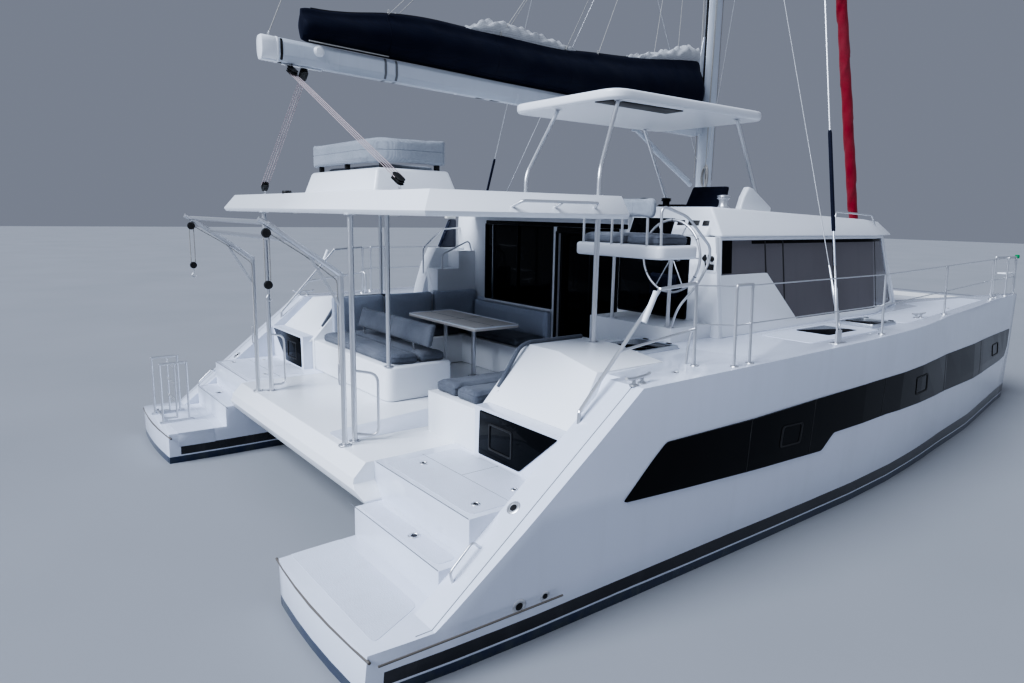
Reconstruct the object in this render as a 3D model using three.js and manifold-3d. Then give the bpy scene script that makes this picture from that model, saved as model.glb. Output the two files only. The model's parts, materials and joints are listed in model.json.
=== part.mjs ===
// Cruising sailing catamaran with furled sails, afloat, in millimetres.
// X points to the bow, Y to port and Z up. The origin is amidships on the centreline at the waterline.

import * as THREE from 'three';
import { mergeVertices } from 'three/addons/utils/BufferGeometryUtils.js';
import Module from 'manifold-3d';

const wasm = await Module();
wasm.setup();

// Driving dimensions

const GAP = 0.3;
const HULL_Y = 2600;
const STERN_X = -6330;
const BOW_X = 6330;
const SOLE_Z = 930;
const TUNNEL_Z = 740;
const PLATFORM_Z = 370;
const STEP_Z = 620;
const LEDGE_Z = 1370;
const SHEER_Z = 1760;
const WELL_Y = 2020;
const SEAT_Z = 1330;
const CUSHION = 100;
const BULKHEAD_X = -1800;
const WALL = 60;
const CABIN_TOP_Z = 2830;
const ROOF_UNDER_Z = 3000;
const ROOF_TOP_Z = 3200;
const HELM_TOP_UNDER_Z = 4125;
const HELM_TOP_Z = 4222;
const KEEL_Z = -1400;
const MAST_X = 1000;
const MAST_TOP_Z = 19700;
const TUBE = 16;
const SLIM_TUBE = 12;
const STOUT_TUBE = 20;
const WIRE = 6;
const EMBED = 10;
const REACH = 20;
const CURVE_SEGMENTS = 5;

const UP = new THREE.Vector3(0, 1, 0);

// Solids

function solidOf(geometry) {
  const bare = geometry.clone();
  bare.deleteAttribute('normal');
  bare.deleteAttribute('uv');
  const merged = mergeVertices(bare, 1e-3);
  const vertProperties = new Float32Array(merged.attributes.position.array);
  const triVerts = new Uint32Array(merged.index.array);
  return new wasm.Manifold(new wasm.Mesh({ numProp: 3, vertProperties, triVerts }));
}

function geometryOf(solid) {
  const mesh = solid.getMesh();
  const geometry = new THREE.BufferGeometry();
  geometry.setAttribute('position', new THREE.BufferAttribute(new Float32Array(mesh.vertProperties), 3));
  geometry.setIndex(new THREE.BufferAttribute(new Uint32Array(mesh.triVerts), 1));
  geometry.computeVertexNormals();
  return geometry;
}

const join = (...solids) => solids.reduce((whole, solid) => whole.add(solid));
const cut = (whole, ...tools) => tools.reduce((left, tool) => left.subtract(tool), whole);
const moved = (solid, x, y, z) => solid.translate([x, y, z]);
const mirrored = (solid) => solid.mirror([0, 1, 0]);

function block(x0, x1, y0, y1, z0, z1) {
  const geometry = new THREE.BoxGeometry(x1 - x0, y1 - y0, z1 - z0);
  geometry.translate((x0 + x1) / 2, (y0 + y1) / 2, (z0 + z1) / 2);
  return solidOf(geometry);
}

const rectangle = (u0, u1, v0, v1) => [[u0, v0], [u1, v0], [u1, v1], [u0, v1]];

// An outline drawn in one plane and pushed along the third axis between two places.
function prism(plane, outline, from, to) {
  const shape = outline instanceof THREE.Shape
    ? outline : new THREE.Shape(outline.map(([u, v]) => new THREE.Vector2(u, v)));
  const geometry = new THREE.ExtrudeGeometry(shape, {
    depth: to - from, bevelEnabled: false, curveSegments: CURVE_SEGMENTS });
  if (plane === 'xy') geometry.translate(0, 0, from);
  if (plane === 'xz') geometry.rotateX(Math.PI / 2).translate(0, to, 0);
  if (plane === 'yz') {
    const turn = new THREE.Matrix4().makeBasis(
      new THREE.Vector3(0, 1, 0), new THREE.Vector3(0, 0, 1), new THREE.Vector3(1, 0, 0));
    geometry.applyMatrix4(turn).translate(from, 0, 0);
  }
  return solidOf(geometry);
}

// A skin through rings with the same number of points, closed by a flat cap at each end.
function loft(rings, flatten) {
  const count = rings[0].length;
  const positions = rings.flat(2);
  const index = [];
  for (let ring = 0; ring + 1 < rings.length; ring += 1) {
    for (let corner = 0; corner < count; corner += 1) {
      const next = (corner + 1) % count;
      const a = ring * count + corner;
      const b = ring * count + next;
      index.push(a, b, b + count, a, b + count, a + count);
    }
  }
  const last = (rings.length - 1) * count;
  for (const [ring, start, atStart] of [[rings[0], 0, true], [rings[rings.length - 1], last, false]]) {
    const flat = ring.map(flatten);
    const clockwise = THREE.ShapeUtils.isClockWise(flat);
    for (const [a, b, c] of THREE.ShapeUtils.triangulateShape(flat, [])) {
      if (atStart !== clockwise) index.push(start + a, start + c, start + b);
      else index.push(start + a, start + b, start + c);
    }
  }
  const geometry = new THREE.BufferGeometry();
  geometry.setAttribute('position', new THREE.Float32BufferAttribute(positions, 3));
  geometry.setIndex(index);
  const solid = solidOf(geometry);
  if (solid.volume() > 0) return solid;
  for (let at = 0; at < index.length; at += 3) [index[at], index[at + 1]] = [index[at + 1], index[at]];
  geometry.setIndex(index);
  return solidOf(geometry);
}

// Rows of numbers with a smooth curve's rows put between them.
function spread(rows, steps) {
  const last = rows.length - 1;
  const between = rows.slice(0, last).flatMap((row, at) => {
    const before = rows[Math.max(at - 1, 0)];
    const next = rows[at + 1];
    const after = rows[Math.min(at + 2, last)];
    return Array.from({ length: steps }, (unused, step) => {
      const t = step / steps;
      return row.map((value, column) => {
        const bend = 2 * before[column] - 5 * value + 4 * next[column] - after[column];
        const twist = 3 * value - before[column] - 3 * next[column] + after[column];
        return value + (next[column] - before[column]) * t / 2 + bend * t ** 2 / 2 + twist * t ** 3 / 2;
      });
    });
  });
  return [...between, rows[last]];
}

const flatX = ([, y, z]) => new THREE.Vector2(y, z);
const flatZ = ([x, y]) => new THREE.Vector2(x, y);

function rod(from, to, radius, sides = 6) {
  const start = new THREE.Vector3(...from);
  const way = new THREE.Vector3(...to).sub(start);
  const geometry = new THREE.CylinderGeometry(radius, radius, way.length(), sides);
  geometry.translate(0, way.length() / 2, 0);
  geometry.applyQuaternion(new THREE.Quaternion().setFromUnitVectors(UP, way.normalize()));
  geometry.translate(...from);
  return solidOf(geometry);
}

function ball(at, radius) {
  const geometry = new THREE.SphereGeometry(radius, 6, 4);
  geometry.translate(...at);
  return solidOf(geometry);
}

const BEND_SWELL = 1.15;

// A bent tube: straight lengths joined by a ball in each bend.
function pipe(points, radius, sides = 6) {
  const pieces = points.slice(1).map((point, at) => rod(points[at], point, radius, sides));
  const bends = points.slice(1, -1).map((point) => ball(point, radius * BEND_SWELL));
  return join(...pieces, ...bends);
}

// A turned shape whose profile of radius and height runs along a line.
function turned(profile, from, to, sides = 12) {
  const start = new THREE.Vector3(...from);
  const way = new THREE.Vector3(...to).sub(start).normalize();
  const points = profile.map(([radius, height]) => new THREE.Vector2(radius, height));
  const geometry = new THREE.LatheGeometry(points, sides);
  geometry.applyQuaternion(new THREE.Quaternion().setFromUnitVectors(UP, way));
  geometry.translate(...from);
  const solid = solidOf(geometry);
  if (solid.volume() > 0) return solid;
  throw new Error('a turned profile runs the wrong way');
}

// What is left of a solid when a neighbour is taken out of it with a clear gap on the given axes.
function clearOf(solid, neighbour, axes = 'xyz') {
  const steps = { x: [GAP, 0, 0], y: [0, GAP, 0], z: [0, 0, GAP] };
  return [...axes].reduce((left, axis) => {
    const [x, y, z] = steps[axis];
    return cut(left, moved(neighbour, x, y, z), moved(neighbour, -x, -y, -z));
  }, solid);
}

const above = (solid, floor) => cut(solid, moved(floor, 0, 0, GAP));

// Materials

const finish = (color, roughness, metalness) => new THREE.MeshStandardMaterial({ color, roughness, metalness });

const GELCOAT = [0xe9ecf2, 0.25, 0.0];
const STEEL = [0xb9bcc2, 0.2, 1.0];
const SPAR = [0xb8bfca, 0.35, 0.4];
const GLASS = [0x20242a, 0.1, 0.0];
const TINTED = [0x6a655f, 0.1, 0.0];
const NAVY_CLOTH = [0x1d2440, 0.9, 0.0];
const RED_CLOTH = [0x9c1f2c, 0.9, 0.0];
const LIGHT_CUSHION = [0x8f99a5, 0.9, 0.0];
const DARK_CUSHION = [0x4d535d, 0.9, 0.0];
const NET = [0xd8d8d2, 0.9, 0.0];
const BOTTOM_PAINT = [0x1f2e4a, 0.8, 0.0];
const BRONZE = [0xb08d57, 0.35, 1.0];
const TABLE = [0xb7b1aa, 0.4, 0.0];

const boat = new THREE.Group();

function add(name, solid, look) {
  const mesh = new THREE.Mesh(geometryOf(solid), finish(...look));
  mesh.name = name;
  boat.add(mesh);
  return solid;
}

function addPair(name, portSolid, look) {
  add(`${name}_port`, portSolid, look);
  const starboard = add(`${name}_starboard`, mirrored(portSolid), look);
  return [portSolid, starboard];
}

// Hulls

const SIDE_Z = 900;
const SHOULDER_Z = 640;
const BILGE = 0.74;
const BILGE_DEPTH = 0.62;
const FLAT = 0.26;
const STERN_ARC = 45;
// x, outer and inner half width at deck, outer half width of side, outer and inner at water, bottom z, deck z
const HULL_STATIONS = [
  [STERN_X, 850, 870, 842, 730, 700, -60, 1760],
  [-5600, 885, 890, 875, 790, 740, -260, 1760],
  [-4070, 920, 900, 905, 830, 760, -520, 1760],
  [-600, 920, 900, 910, 840, 770, -640, 1805],
  [1000, 800, 880, 815, 750, 720, -640, 1815],
  [2130, 600, 800, 655, 625, 590, -610, 1820],
  [3500, 420, 600, 500, 475, 410, -560, 1825],
  [4660, 235, 350, 310, 285, 240, -470, 1830],
  [5700, 110, 150, 140, 115, 100, -330, 1830],
  [BOW_X, 40, 45, 38, 20, 20, -120, 1830],
];

const KNUCKLE = 120;
const INNER_STEP = 20;
const CURVE_STEPS = 2;

function hullRing([x, deckOut, deckIn, sideOut, waterOut, waterIn, bottom, deck]) {
  const outer = spread([
    [deckOut, deck], [sideOut, SIDE_Z], [waterOut, 0], [waterOut * BILGE, bottom * BILGE_DEPTH],
    [waterOut * FLAT, bottom],
  ], CURVE_STEPS);
  const inner = spread([
    [-waterIn * FLAT, bottom], [-waterIn * BILGE, bottom * BILGE_DEPTH], [-waterIn, 0],
    [-waterIn - INNER_STEP, SHOULDER_Z],
  ], CURVE_STEPS);
  const corners = [[-deckIn, deck], ...outer, ...inner, [-deckIn, SHOULDER_Z + KNUCKLE]];
  return corners.map(([out, z]) => [x, HULL_Y + out, z]);
}

// The stern's arc in plan: distance out from the hull's middle
const ARC_OUTS = [-900, -600, -300, 0, 300, 600, 900];
const ARC_HALF = 850;
const PLAN_HALF = 1000;
const PLAN_FRONT_X = BOW_X + 100;
const PLAN_Z = [-700, 2000];
const sternPlan = [
  ...ARC_OUTS.map((out) => [STERN_X + STERN_ARC * (out / ARC_HALF) ** 2, HULL_Y + out]),
  [PLAN_FRONT_X, HULL_Y + PLAN_HALF], [PLAN_FRONT_X, HULL_Y - PLAN_HALF],
];
const hullSkin = loft(spread(HULL_STATIONS, CURVE_STEPS).map(hullRing), flatX);
const hullBody = hullSkin.intersect(prism('xy', sternPlan, ...PLAN_Z));

const RISER_X = -5640;
const SECOND_RISER_X = -5390;
const STERN_WALL_X = -4565;
const LEDGE_X = -4300;
const LEDGE_TOP_X = -3950;
const WELL_IN = HULL_Y - 1100;
const FAR_OUT = HULL_Y + 1100;
const BULWARK_FOOT_X = -5830;
const BULWARK_TOP_X = -4070;
const BULWARK_Y = 3160;
const SKY_Z = 2400;
const WELL_FRONT_X = BULKHEAD_X - WALL;
const PLATFORM_BACK = STERN_X - 200;

const stairAir = prism('xz', [
  [PLATFORM_BACK, PLATFORM_Z], [RISER_X, PLATFORM_Z], [RISER_X, STEP_Z], [SECOND_RISER_X, STEP_Z],
  [SECOND_RISER_X, SOLE_Z], [STERN_WALL_X, SOLE_Z], [STERN_WALL_X, LEDGE_Z], [LEDGE_X, LEDGE_Z],
  [LEDGE_TOP_X, SHEER_Z], [LEDGE_TOP_X, SKY_Z], [PLATFORM_BACK, SKY_Z],
], WELL_IN, BULWARK_Y);
const bulwarkAir = prism('xz', [
  [PLATFORM_BACK, PLATFORM_Z], [BULWARK_FOOT_X, PLATFORM_Z], [BULWARK_TOP_X, SHEER_Z],
  [BULWARK_TOP_X, SKY_Z], [PLATFORM_BACK, SKY_Z],
], BULWARK_Y - 1, FAR_OUT);
const wellAir = block(STERN_WALL_X - 1, WELL_FRONT_X, WELL_IN, WELL_Y, SOLE_Z, SKY_Z);

// Deck hatches, each lid in a shallow recess of its own size: low and high x, low and high y
const HATCH_DEPTH = 30;
const AFT_HATCH = [-3200, -2600, -2660, -2090];
const SIDE_HATCH = [230, 800, 2700, 3150];
const hatchAir = ([x0, x1, y0, y1]) => block(x0, x1, y0, y1, SHEER_Z - HATCH_DEPTH, SKY_Z);

// Rudder stock hole
const RUDDER_X = -5600;
const STOCK_R = 30;
const STOCK_CLEAR = 0.7;
const STOCK_SIDES = 32;
const STOCK_TOP_Z = -120;
const STOCK_HOLE_Z = -600;
const stockHole = rod(
  [RUDDER_X, HULL_Y, STOCK_HOLE_Z], [RUDDER_X, HULL_Y, STOCK_TOP_Z], STOCK_R + STOCK_CLEAR, STOCK_SIDES);

const hullPort = cut(hullBody, stairAir, bulwarkAir, wellAir, hatchAir(SIDE_HATCH), stockHole);
const hullStarboard = cut(mirrored(hullPort), hatchAir(AFT_HATCH));
add('hull_port', hullPort, GELCOAT);
add('hull_starboard', hullStarboard, GELCOAT);
const hulls = join(hullPort, hullStarboard);
const hullBodies = join(hullBody, mirrored(hullBody));
const betweenHulls = (solid) => clearOf(solid, hullBodies, 'y');

// Keels

const KEEL_THICK = 110;
// chord position along the keel's length, half thickness as a share of the full one
const FOIL = [[0, 0], [0.08, 0.7], [0.3, 1], [0.65, 0.8], [1, 0.06]];

function foilRing(z, front, back, half, y) {
  const place = ([share, thick]) => [front + (back - front) * share, half * thick];
  const port = FOIL.map(place);
  const starboard = FOIL.slice(1).reverse().map(place).map(([x, out]) => [x, -out]);
  return [...port, ...starboard].map(([x, out]) => [x, y + out, z]);
}

// z, front x, back x and half thickness of each section, from the top down
const KEEL_SECTIONS = [
  [-480, 950, -1700, KEEL_THICK],
  [-1300, 550, -1600, KEEL_THICK * 0.85],
  [KEEL_Z, 450, -1560, KEEL_THICK * 0.6],
];
const keelBody = loft(KEEL_SECTIONS.map((section) => foilRing(...section, HULL_Y)), flatZ);
addPair('keel', cut(keelBody, moved(hullPort, 0, 0, -GAP)), BOTTOM_PAINT);

// Saildrive legs, propellers and rudders

const DRIVE_X = -4500;
const SHAFT_Z = -860;
const POD_R = 75;
const POD_BACK_X = -4780;
const DRIVE_SECTIONS = [
  [-400, DRIVE_X + 190, DRIVE_X - 170, 60],
  [SHAFT_Z, DRIVE_X + 150, DRIVE_X - 150, 50],
];
// radius and distance forward of the pod's back
const POD_PROFILE = [[0, 0], [52, 0], [POD_R, 120], [POD_R, 420], [48, 520], [0, 560]];
const driveLeg = loft(DRIVE_SECTIONS.map((section) => foilRing(...section, HULL_Y)), flatZ);
const drivePod = turned(POD_PROFILE, [POD_BACK_X, HULL_Y, SHAFT_Z], [DRIVE_X, HULL_Y, SHAFT_Z]);
addPair('saildrive', cut(join(driveLeg, drivePod), moved(hullPort, 0, 0, -GAP)), BRONZE);

const PROP_R = 225;
const PROP_BLADES = 3;
const HUB_LENGTH = 150;
const HUB_PROFILE = [[0, 0], [24, 10], [50, 60], [52, HUB_LENGTH], [0, HUB_LENGTH]];
const BLADE = { thick: 9, wide: 62, tip: 20, root: 18, pitch: 0.55 };
const propHub = turned(
  HUB_PROFILE, [POD_BACK_X - HUB_LENGTH - GAP, HULL_Y, SHAFT_Z], [POD_BACK_X, HULL_Y, SHAFT_Z]);
const PROP_MID_X = POD_BACK_X - 85;
const blades = Array.from({ length: PROP_BLADES }, (unused, at) => {
  const geometry = new THREE.SphereGeometry(1, 10, 6);
  geometry.scale(BLADE.thick, BLADE.wide, PROP_R / 2 - BLADE.tip);
  geometry.rotateZ(BLADE.pitch);
  geometry.translate(0, 0, PROP_R / 2 + BLADE.root);
  geometry.rotateX((at * 2 * Math.PI) / PROP_BLADES);
  geometry.translate(PROP_MID_X, HULL_Y, SHAFT_Z);
  return solidOf(geometry);
});
addPair('propeller', join(propHub, ...blades), BRONZE);

const RUDDER_TOP_Z = -345;
const RUDDER_TIP_Z = -1180;
const RUDDER_SECTIONS = [
  [RUDDER_TIP_Z, RUDDER_X + 90, RUDDER_X - 260, 26],
  [RUDDER_TOP_Z, RUDDER_X + 130, RUDDER_X - 360, 42],
];
const STOCK_FOOT_Z = RUDDER_TOP_Z - 300;
const rudderBlade = loft(RUDDER_SECTIONS.map((section) => foilRing(...section, HULL_Y)), flatZ);
const rudderStock = rod(
  [RUDDER_X, HULL_Y, STOCK_FOOT_Z], [RUDDER_X, HULL_Y, STOCK_TOP_Z - GAP], STOCK_R, STOCK_SIDES / 2);
addPair('rudder', join(rudderBlade, rudderStock), BOTTOM_PAINT);

// Bridge deck with the cockpit and saloon floor, and the aft crossbeam

const SPLIT_X = 2700;
const SPLIT_Z = 860;
const DECK_HALF = 2300;
// x and z around the bridge deck, with the aft crossbeam's sloped face first
const DECK_SECTION = [
  [-5470, SOLE_Z], [-5585, 810], [-5600, 720], [-5530, 600], [-5200, 560], [-4700, TUNNEL_Z],
  [2300, TUNNEL_Z], [SPLIT_X, SPLIT_Z], [SPLIT_X, SOLE_Z],
];
const bridgedeck = betweenHulls(prism('xz', DECK_SECTION, -DECK_HALF, DECK_HALF));
add('bridgedeck', bridgedeck, GELCOAT);

const FOREDECK_Z = 1820;
const FOREDECK_FRONT_X = 4250;
const PIT_SEAT_Z = 1600;
const PIT_SOLE_Z = 1250;
const PIT_SEAT_Y = 1350;
const PIT_SOLE_Y = 800;
const PIT_FRONT_X = 3950;
const PIT_SOLE_FRONT_X = 3700;
const FOREDECK_HALF = 2500;
// x and z around the foredeck, with its sloped underside first
const FOREDECK_SECTION = [
  [SPLIT_X + GAP, SPLIT_Z + 1], [PIT_FRONT_X, 1050], [FOREDECK_FRONT_X, 1500],
  [FOREDECK_FRONT_X, FOREDECK_Z], [SPLIT_X + GAP, FOREDECK_Z],
];
const foredeckBlock = prism('xz', FOREDECK_SECTION, -FOREDECK_HALF, FOREDECK_HALF);
const foredeck = betweenHulls(cut(foredeckBlock,
  block(SPLIT_X - REACH, PIT_FRONT_X, -PIT_SEAT_Y, PIT_SEAT_Y, PIT_SEAT_Z, SKY_Z),
  block(SPLIT_X - REACH, PIT_SOLE_FRONT_X, -PIT_SOLE_Y, PIT_SOLE_Y, PIT_SOLE_Z, SKY_Z)));
add('foredeck', foredeck, GELCOAT);

// Forward crossbeam with its fore and aft beam and the headsail's fitting

const FORE_BEAM_X = 5850;
const FORE_BEAM_Z = 1690;
const FORE_BEAM_R = 90;
const FORESTAY_FOOT = [5990, 0, 1900];
const FORESTAY_HEAD = [MAST_X + 130, 0, 17400];
const SPRIT_X = 6180;
const SPRIT_HALF = 60;
const SPRIT_Z = [1620, 1730];
const LUG_HALF = 14;
const LUG = [[5790, FORE_BEAM_Z], [6110, FORE_BEAM_Z], [6040, 1920], [5940, 1920]];
const foreBeam = clearOf(rod(
  [FORE_BEAM_X, -HULL_Y, FORE_BEAM_Z], [FORE_BEAM_X, HULL_Y, FORE_BEAM_Z], FORE_BEAM_R, 12), hullBodies, 'y');
const keelBeam = block(FOREDECK_FRONT_X + GAP, SPRIT_X, -SPRIT_HALF, SPRIT_HALF, ...SPRIT_Z);
const tackLug = prism('xz', LUG, -LUG_HALF, LUG_HALF);
const foreCrossbeam = add('fore_crossbeam', join(foreBeam, keelBeam, tackLug), SPAR);

const NET_Z = SPRIT_Z[1] + GAP;
const NET_THICK = 12;
const NET_HALF = [2500, 2560];
const netSheet = prism('xy', [
  [FOREDECK_FRONT_X + GAP, -NET_HALF[0]], [FORE_BEAM_X, -NET_HALF[1]],
  [FORE_BEAM_X, NET_HALF[1]], [FOREDECK_FRONT_X + GAP, NET_HALF[0]],
], NET_Z, NET_Z + NET_THICK);
const net = clearOf(clearOf(netSheet, hullBodies, 'y'), foreBeam, 'x');
const aheadOfBeam = block(FORE_BEAM_X, SPRIT_X, -HULL_Y, HULL_Y, FORE_BEAM_Z, SKY_Z);
add('trampoline', cut(net, moved(foreBeam, 0, 0, GAP), aheadOfBeam), NET);

// Cockpit coamings: a seat box or settee side, a back board and a cap on the side deck

const COAMING_TOP_Z = 1850;
const COAMING_X = [-4480, -3250];
const COAMING_FOOT_Z = 1300;
const COAMING_CREST_X = -3960;
const COAMING_CREST_Y = 2420;
const COAMING_KNEE = [2980, 1775];
const COAMING_OUT_Y = 3150;
const BOARD_Y = WELL_Y - 70;
const BOARD_AFT_X = -4440;
const BOARD_AFT_Z = 1340;
const coamingProfile = [
  [COAMING_X[0], COAMING_FOOT_Z], [COAMING_CREST_X, COAMING_TOP_Z], [COAMING_X[1], COAMING_TOP_Z],
  [COAMING_X[1] + 40, SHEER_Z - 60], [COAMING_CREST_X - 40, COAMING_FOOT_Z],
];
const coamingSection = [
  [BOARD_Y, SOLE_Z + GAP], [BOARD_Y, COAMING_TOP_Z], [COAMING_CREST_Y, COAMING_TOP_Z], COAMING_KNEE,
  [COAMING_OUT_Y, COAMING_FOOT_Z], [WELL_Y - GAP, COAMING_FOOT_Z], [WELL_Y - GAP, SOLE_Z + GAP],
];
const coamingCap = prism('xz', coamingProfile, WELL_Y - REACH, COAMING_OUT_Y);
const backBoard = prism('xz', [
  [BOARD_AFT_X, SOLE_Z + GAP], [BOARD_AFT_X, BOARD_AFT_Z], [COAMING_CREST_X, COAMING_TOP_Z],
  [COAMING_X[1], COAMING_TOP_Z], [COAMING_X[1], SOLE_Z + GAP],
], BOARD_Y, WELL_Y - GAP);
const coamingShape = prism('yz', coamingSection, COAMING_X[0] - REACH, COAMING_X[1] + 3 * REACH);
const coamingPort = above(join(coamingCap, backBoard).intersect(coamingShape), hullPort);

const LOUNGE_X = [STERN_WALL_X, -3500];
const LOUNGE_Y = [-BOARD_Y, -1220];
const ARM_X = [-3530, -3450, -3200];
const ARM_TOP_Z = 1720;
const ARM_Y = -1480;
const loungeBox = block(...LOUNGE_X, -WELL_Y + GAP, LOUNGE_Y[1], SOLE_Z + GAP, SEAT_Z);
const loungeArm = prism('xz', [
  [ARM_X[0], SOLE_Z + GAP], [ARM_X[0], ARM_TOP_Z], [ARM_X[1], ARM_TOP_Z], [ARM_X[2], SOLE_Z + GAP],
], LOUNGE_Y[0] - EMBED, ARM_Y);
const coamingStarboard = join(mirrored(coamingPort), loungeBox, loungeArm);

// Port side: a fin beside the cabin, with moulded stairs inboard of it up to the cockpit roof

const STAIR_X = [-2600, BULKHEAD_X - WALL - GAP];
const STAIR_Y = [BOARD_Y, 2270];
const STAIR_FOOT_Z = 1700;
const STAIR_BOARD_Z = 1900;
const FIN_Y = [2250, 2510];
const FIN_TOP_Z = 2500;
// back x and top z of each tread
const STAIRS = [[-2520, 2210], [-2150, 2470]];
// x and z up the fin's aft edge
const FIN_EDGE = [[-2350, FIN_TOP_Z], [-2470, 2280], [-2580, 1950], [-2640, STAIR_FOOT_Z]];
const stairBlocks = STAIRS.map(([back, top]) => block(back, STAIR_X[1], ...STAIR_Y, STAIR_FOOT_Z, top));
const fin = prism('xz', [[STAIR_X[1], STAIR_FOOT_Z], [STAIR_X[1], FIN_TOP_Z], ...FIN_EDGE], ...FIN_Y);
const stairFoot = block(...STAIR_X, STAIR_Y[0], WELL_Y - GAP, SOLE_Z + GAP, STAIR_BOARD_Z);
const stairs = above(join(...stairBlocks, fin, stairFoot), hullPort);
const portBoard = block(
  COAMING_X[1] - 60, STAIR_X[0] + 60, STAIR_Y[0], WELL_Y - GAP, SOLE_Z + GAP, COAMING_TOP_Z);
add('coaming_port', join(coamingPort, portBoard, stairs), GELCOAT);

// Helm plinth with its step, standing on the cockpit floor and the side deck

const PLINTH_TOP_Z = 1930;
const PLINTH_X = [-2500, BULKHEAD_X - WALL - GAP];
const PLINTH_Y = [-2440, -1280];
const PLINTH_FOOT_Z = 1600;
const PLINTH_STEP_X = -2820;
const PLINTH_STEP_Z = 1430;
const STARBOARD_BOARD_Z = 1790;
const plinth = join(
  block(...PLINTH_X, ...PLINTH_Y, PLINTH_FOOT_Z, PLINTH_TOP_Z),
  block(...PLINTH_X, -WELL_Y + GAP, PLINTH_Y[1], SOLE_Z + GAP, PLINTH_TOP_Z),
  block(PLINTH_STEP_X, PLINTH_X[0] + EMBED, -WELL_Y + GAP, PLINTH_Y[1], SOLE_Z + GAP, PLINTH_STEP_Z));
const starboardBoard = block(
  COAMING_X[1] - 60, PLINTH_STEP_X + REACH, -WELL_Y + GAP, -BOARD_Y, SOLE_Z + GAP, STARBOARD_BOARD_Z);
add('coaming_starboard', join(coamingStarboard, starboardBoard, above(plinth, hulls)), GELCOAT);

// Cockpit furniture

// A plan with its aft starboard corner rounded
function benchPlan([x0, x1], [y0, y1], radius) {
  const plan = new THREE.Shape();
  plan.moveTo(x1, y0);
  plan.lineTo(x1, y1);
  plan.lineTo(x0, y1);
  plan.lineTo(x0, y0 + radius);
  plan.quadraticCurveTo(x0, y0, x0 + radius, y0);
  plan.closePath();
  return plan;
}
const SEAT_PORT_Y = BOARD_Y - GAP;
const SEAT_BACK = 105;
const BENCH = { x: [-4440, -3605], y: [-130, SEAT_PORT_Y], corner: 120 };
const BENCH_PAD = { x: [-4380, -3640], y: [-95, SEAT_PORT_Y - SEAT_BACK], corner: 230 };
const benchBase = add('bench_base', prism(
  'xy', benchPlan(BENCH.x, BENCH.y, BENCH.corner), SOLE_Z + GAP, SEAT_Z), GELCOAT);

const BACKREST_X = -3950;
const BACKREST_Y = [-260, 1560];
// x from the backrest's line and z around its pad
const BACKREST_PAD = [[-60, 1520], [20, 1530], [85, 1800], [15, 1790]];
const BRACKET_Y = [190, 860, 1500];
const BRACKET_LEAN = 50;
const BRACKET_TOP_Z = 1600;
const BRACKET_CLEAR = 6;
const bracketLine = (y) => [[BACKREST_X + BRACKET_LEAN, y, SEAT_Z + GAP], [BACKREST_X, y, BRACKET_TOP_Z]];
const bracketHoles = BRACKET_Y.map((y) => rod(...bracketLine(y), TUBE + BRACKET_CLEAR));
const benchPad = prism(
  'xy', benchPlan(BENCH_PAD.x, BENCH_PAD.y, BENCH_PAD.corner), SEAT_Z + GAP, SEAT_Z + CUSHION);
add('bench_cushion', cut(benchPad, ...bracketHoles), LIGHT_CUSHION);
const backPad = prism('xz', BACKREST_PAD.map(([x, z]) => [BACKREST_X + x, z]), ...BACKREST_Y);
const brackets = BRACKET_Y.map((y) => above(rod(...bracketLine(y), TUBE), benchBase));
add('bench_backrest', join(backPad, ...brackets), LIGHT_CUSHION);

const SETTEE_BACK_X = BULKHEAD_X - WALL - GAP;
const SETTEE_DEEP = 650;
const SETTEE_X0 = -3600;
const SETTEE_Y0 = 60;
const SETTEE_INSET = 20;
const lShape = (inset, back) => [
  [SETTEE_X0 + inset, SEAT_PORT_Y - back], [SETTEE_X0 + inset, SEAT_PORT_Y - SETTEE_DEEP + inset],
  [SETTEE_BACK_X - SETTEE_DEEP + inset, SEAT_PORT_Y - SETTEE_DEEP + inset],
  [SETTEE_BACK_X - SETTEE_DEEP + inset, SETTEE_Y0 + inset],
  [SETTEE_BACK_X - back, SETTEE_Y0 + inset], [SETTEE_BACK_X - back, SEAT_PORT_Y - back],
];
add('settee_base', prism('xy', lShape(0, 0), SOLE_Z + GAP, SEAT_Z), GELCOAT);
add('settee_cushion', prism(
  'xy', lShape(SETTEE_INSET, SEAT_BACK), SEAT_Z + GAP, SEAT_Z + CUSHION), LIGHT_CUSHION);
const PAD_THICK = 97;
const PORT_BACK_X = -4215;
const PORT_BACK_TOP_Z = 1920;
const FRONT_BACK_TOP_Z = 1770;
const padBack = [SETTEE_BACK_X - 3, SEAT_PORT_Y - 3];
add('settee_backrest', join(
  block(PORT_BACK_X, padBack[0], padBack[1] - PAD_THICK, padBack[1], SEAT_Z + GAP, PORT_BACK_TOP_Z),
  block(padBack[0] - PAD_THICK, padBack[0], SETTEE_Y0 + SETTEE_INSET, padBack[1],
    SEAT_Z + GAP, FRONT_BACK_TOP_Z)),
DARK_CUSHION);

const TABLE_X = [-3200, -2480];
const TABLE_Y = [0, 1640];
const TABLE_Z = 1650;
const TABLE_THICK = 45;
const TABLE_LEG = { x: -2860, ys: [500, 1180], radius: 32 };
const tableTop = block(...TABLE_X, ...TABLE_Y, TABLE_Z - TABLE_THICK, TABLE_Z);
const tableLegs = TABLE_LEG.ys.map((y) => rod(
  [TABLE_LEG.x, y, SOLE_Z + GAP], [TABLE_LEG.x, y, TABLE_Z - REACH], TABLE_LEG.radius, 10));
add('cockpit_table', join(tableTop, ...tableLegs), TABLE);

const LOUNGE_INSET = 40;
add('lounge_cushion', block(
  LOUNGE_X[0] + LOUNGE_INSET, LOUNGE_X[1] - LOUNGE_INSET, LOUNGE_Y[0] + EMBED, LOUNGE_Y[1] - EMBED,
  SEAT_Z + GAP, SEAT_Z + CUSHION), LIGHT_CUSHION);

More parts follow.
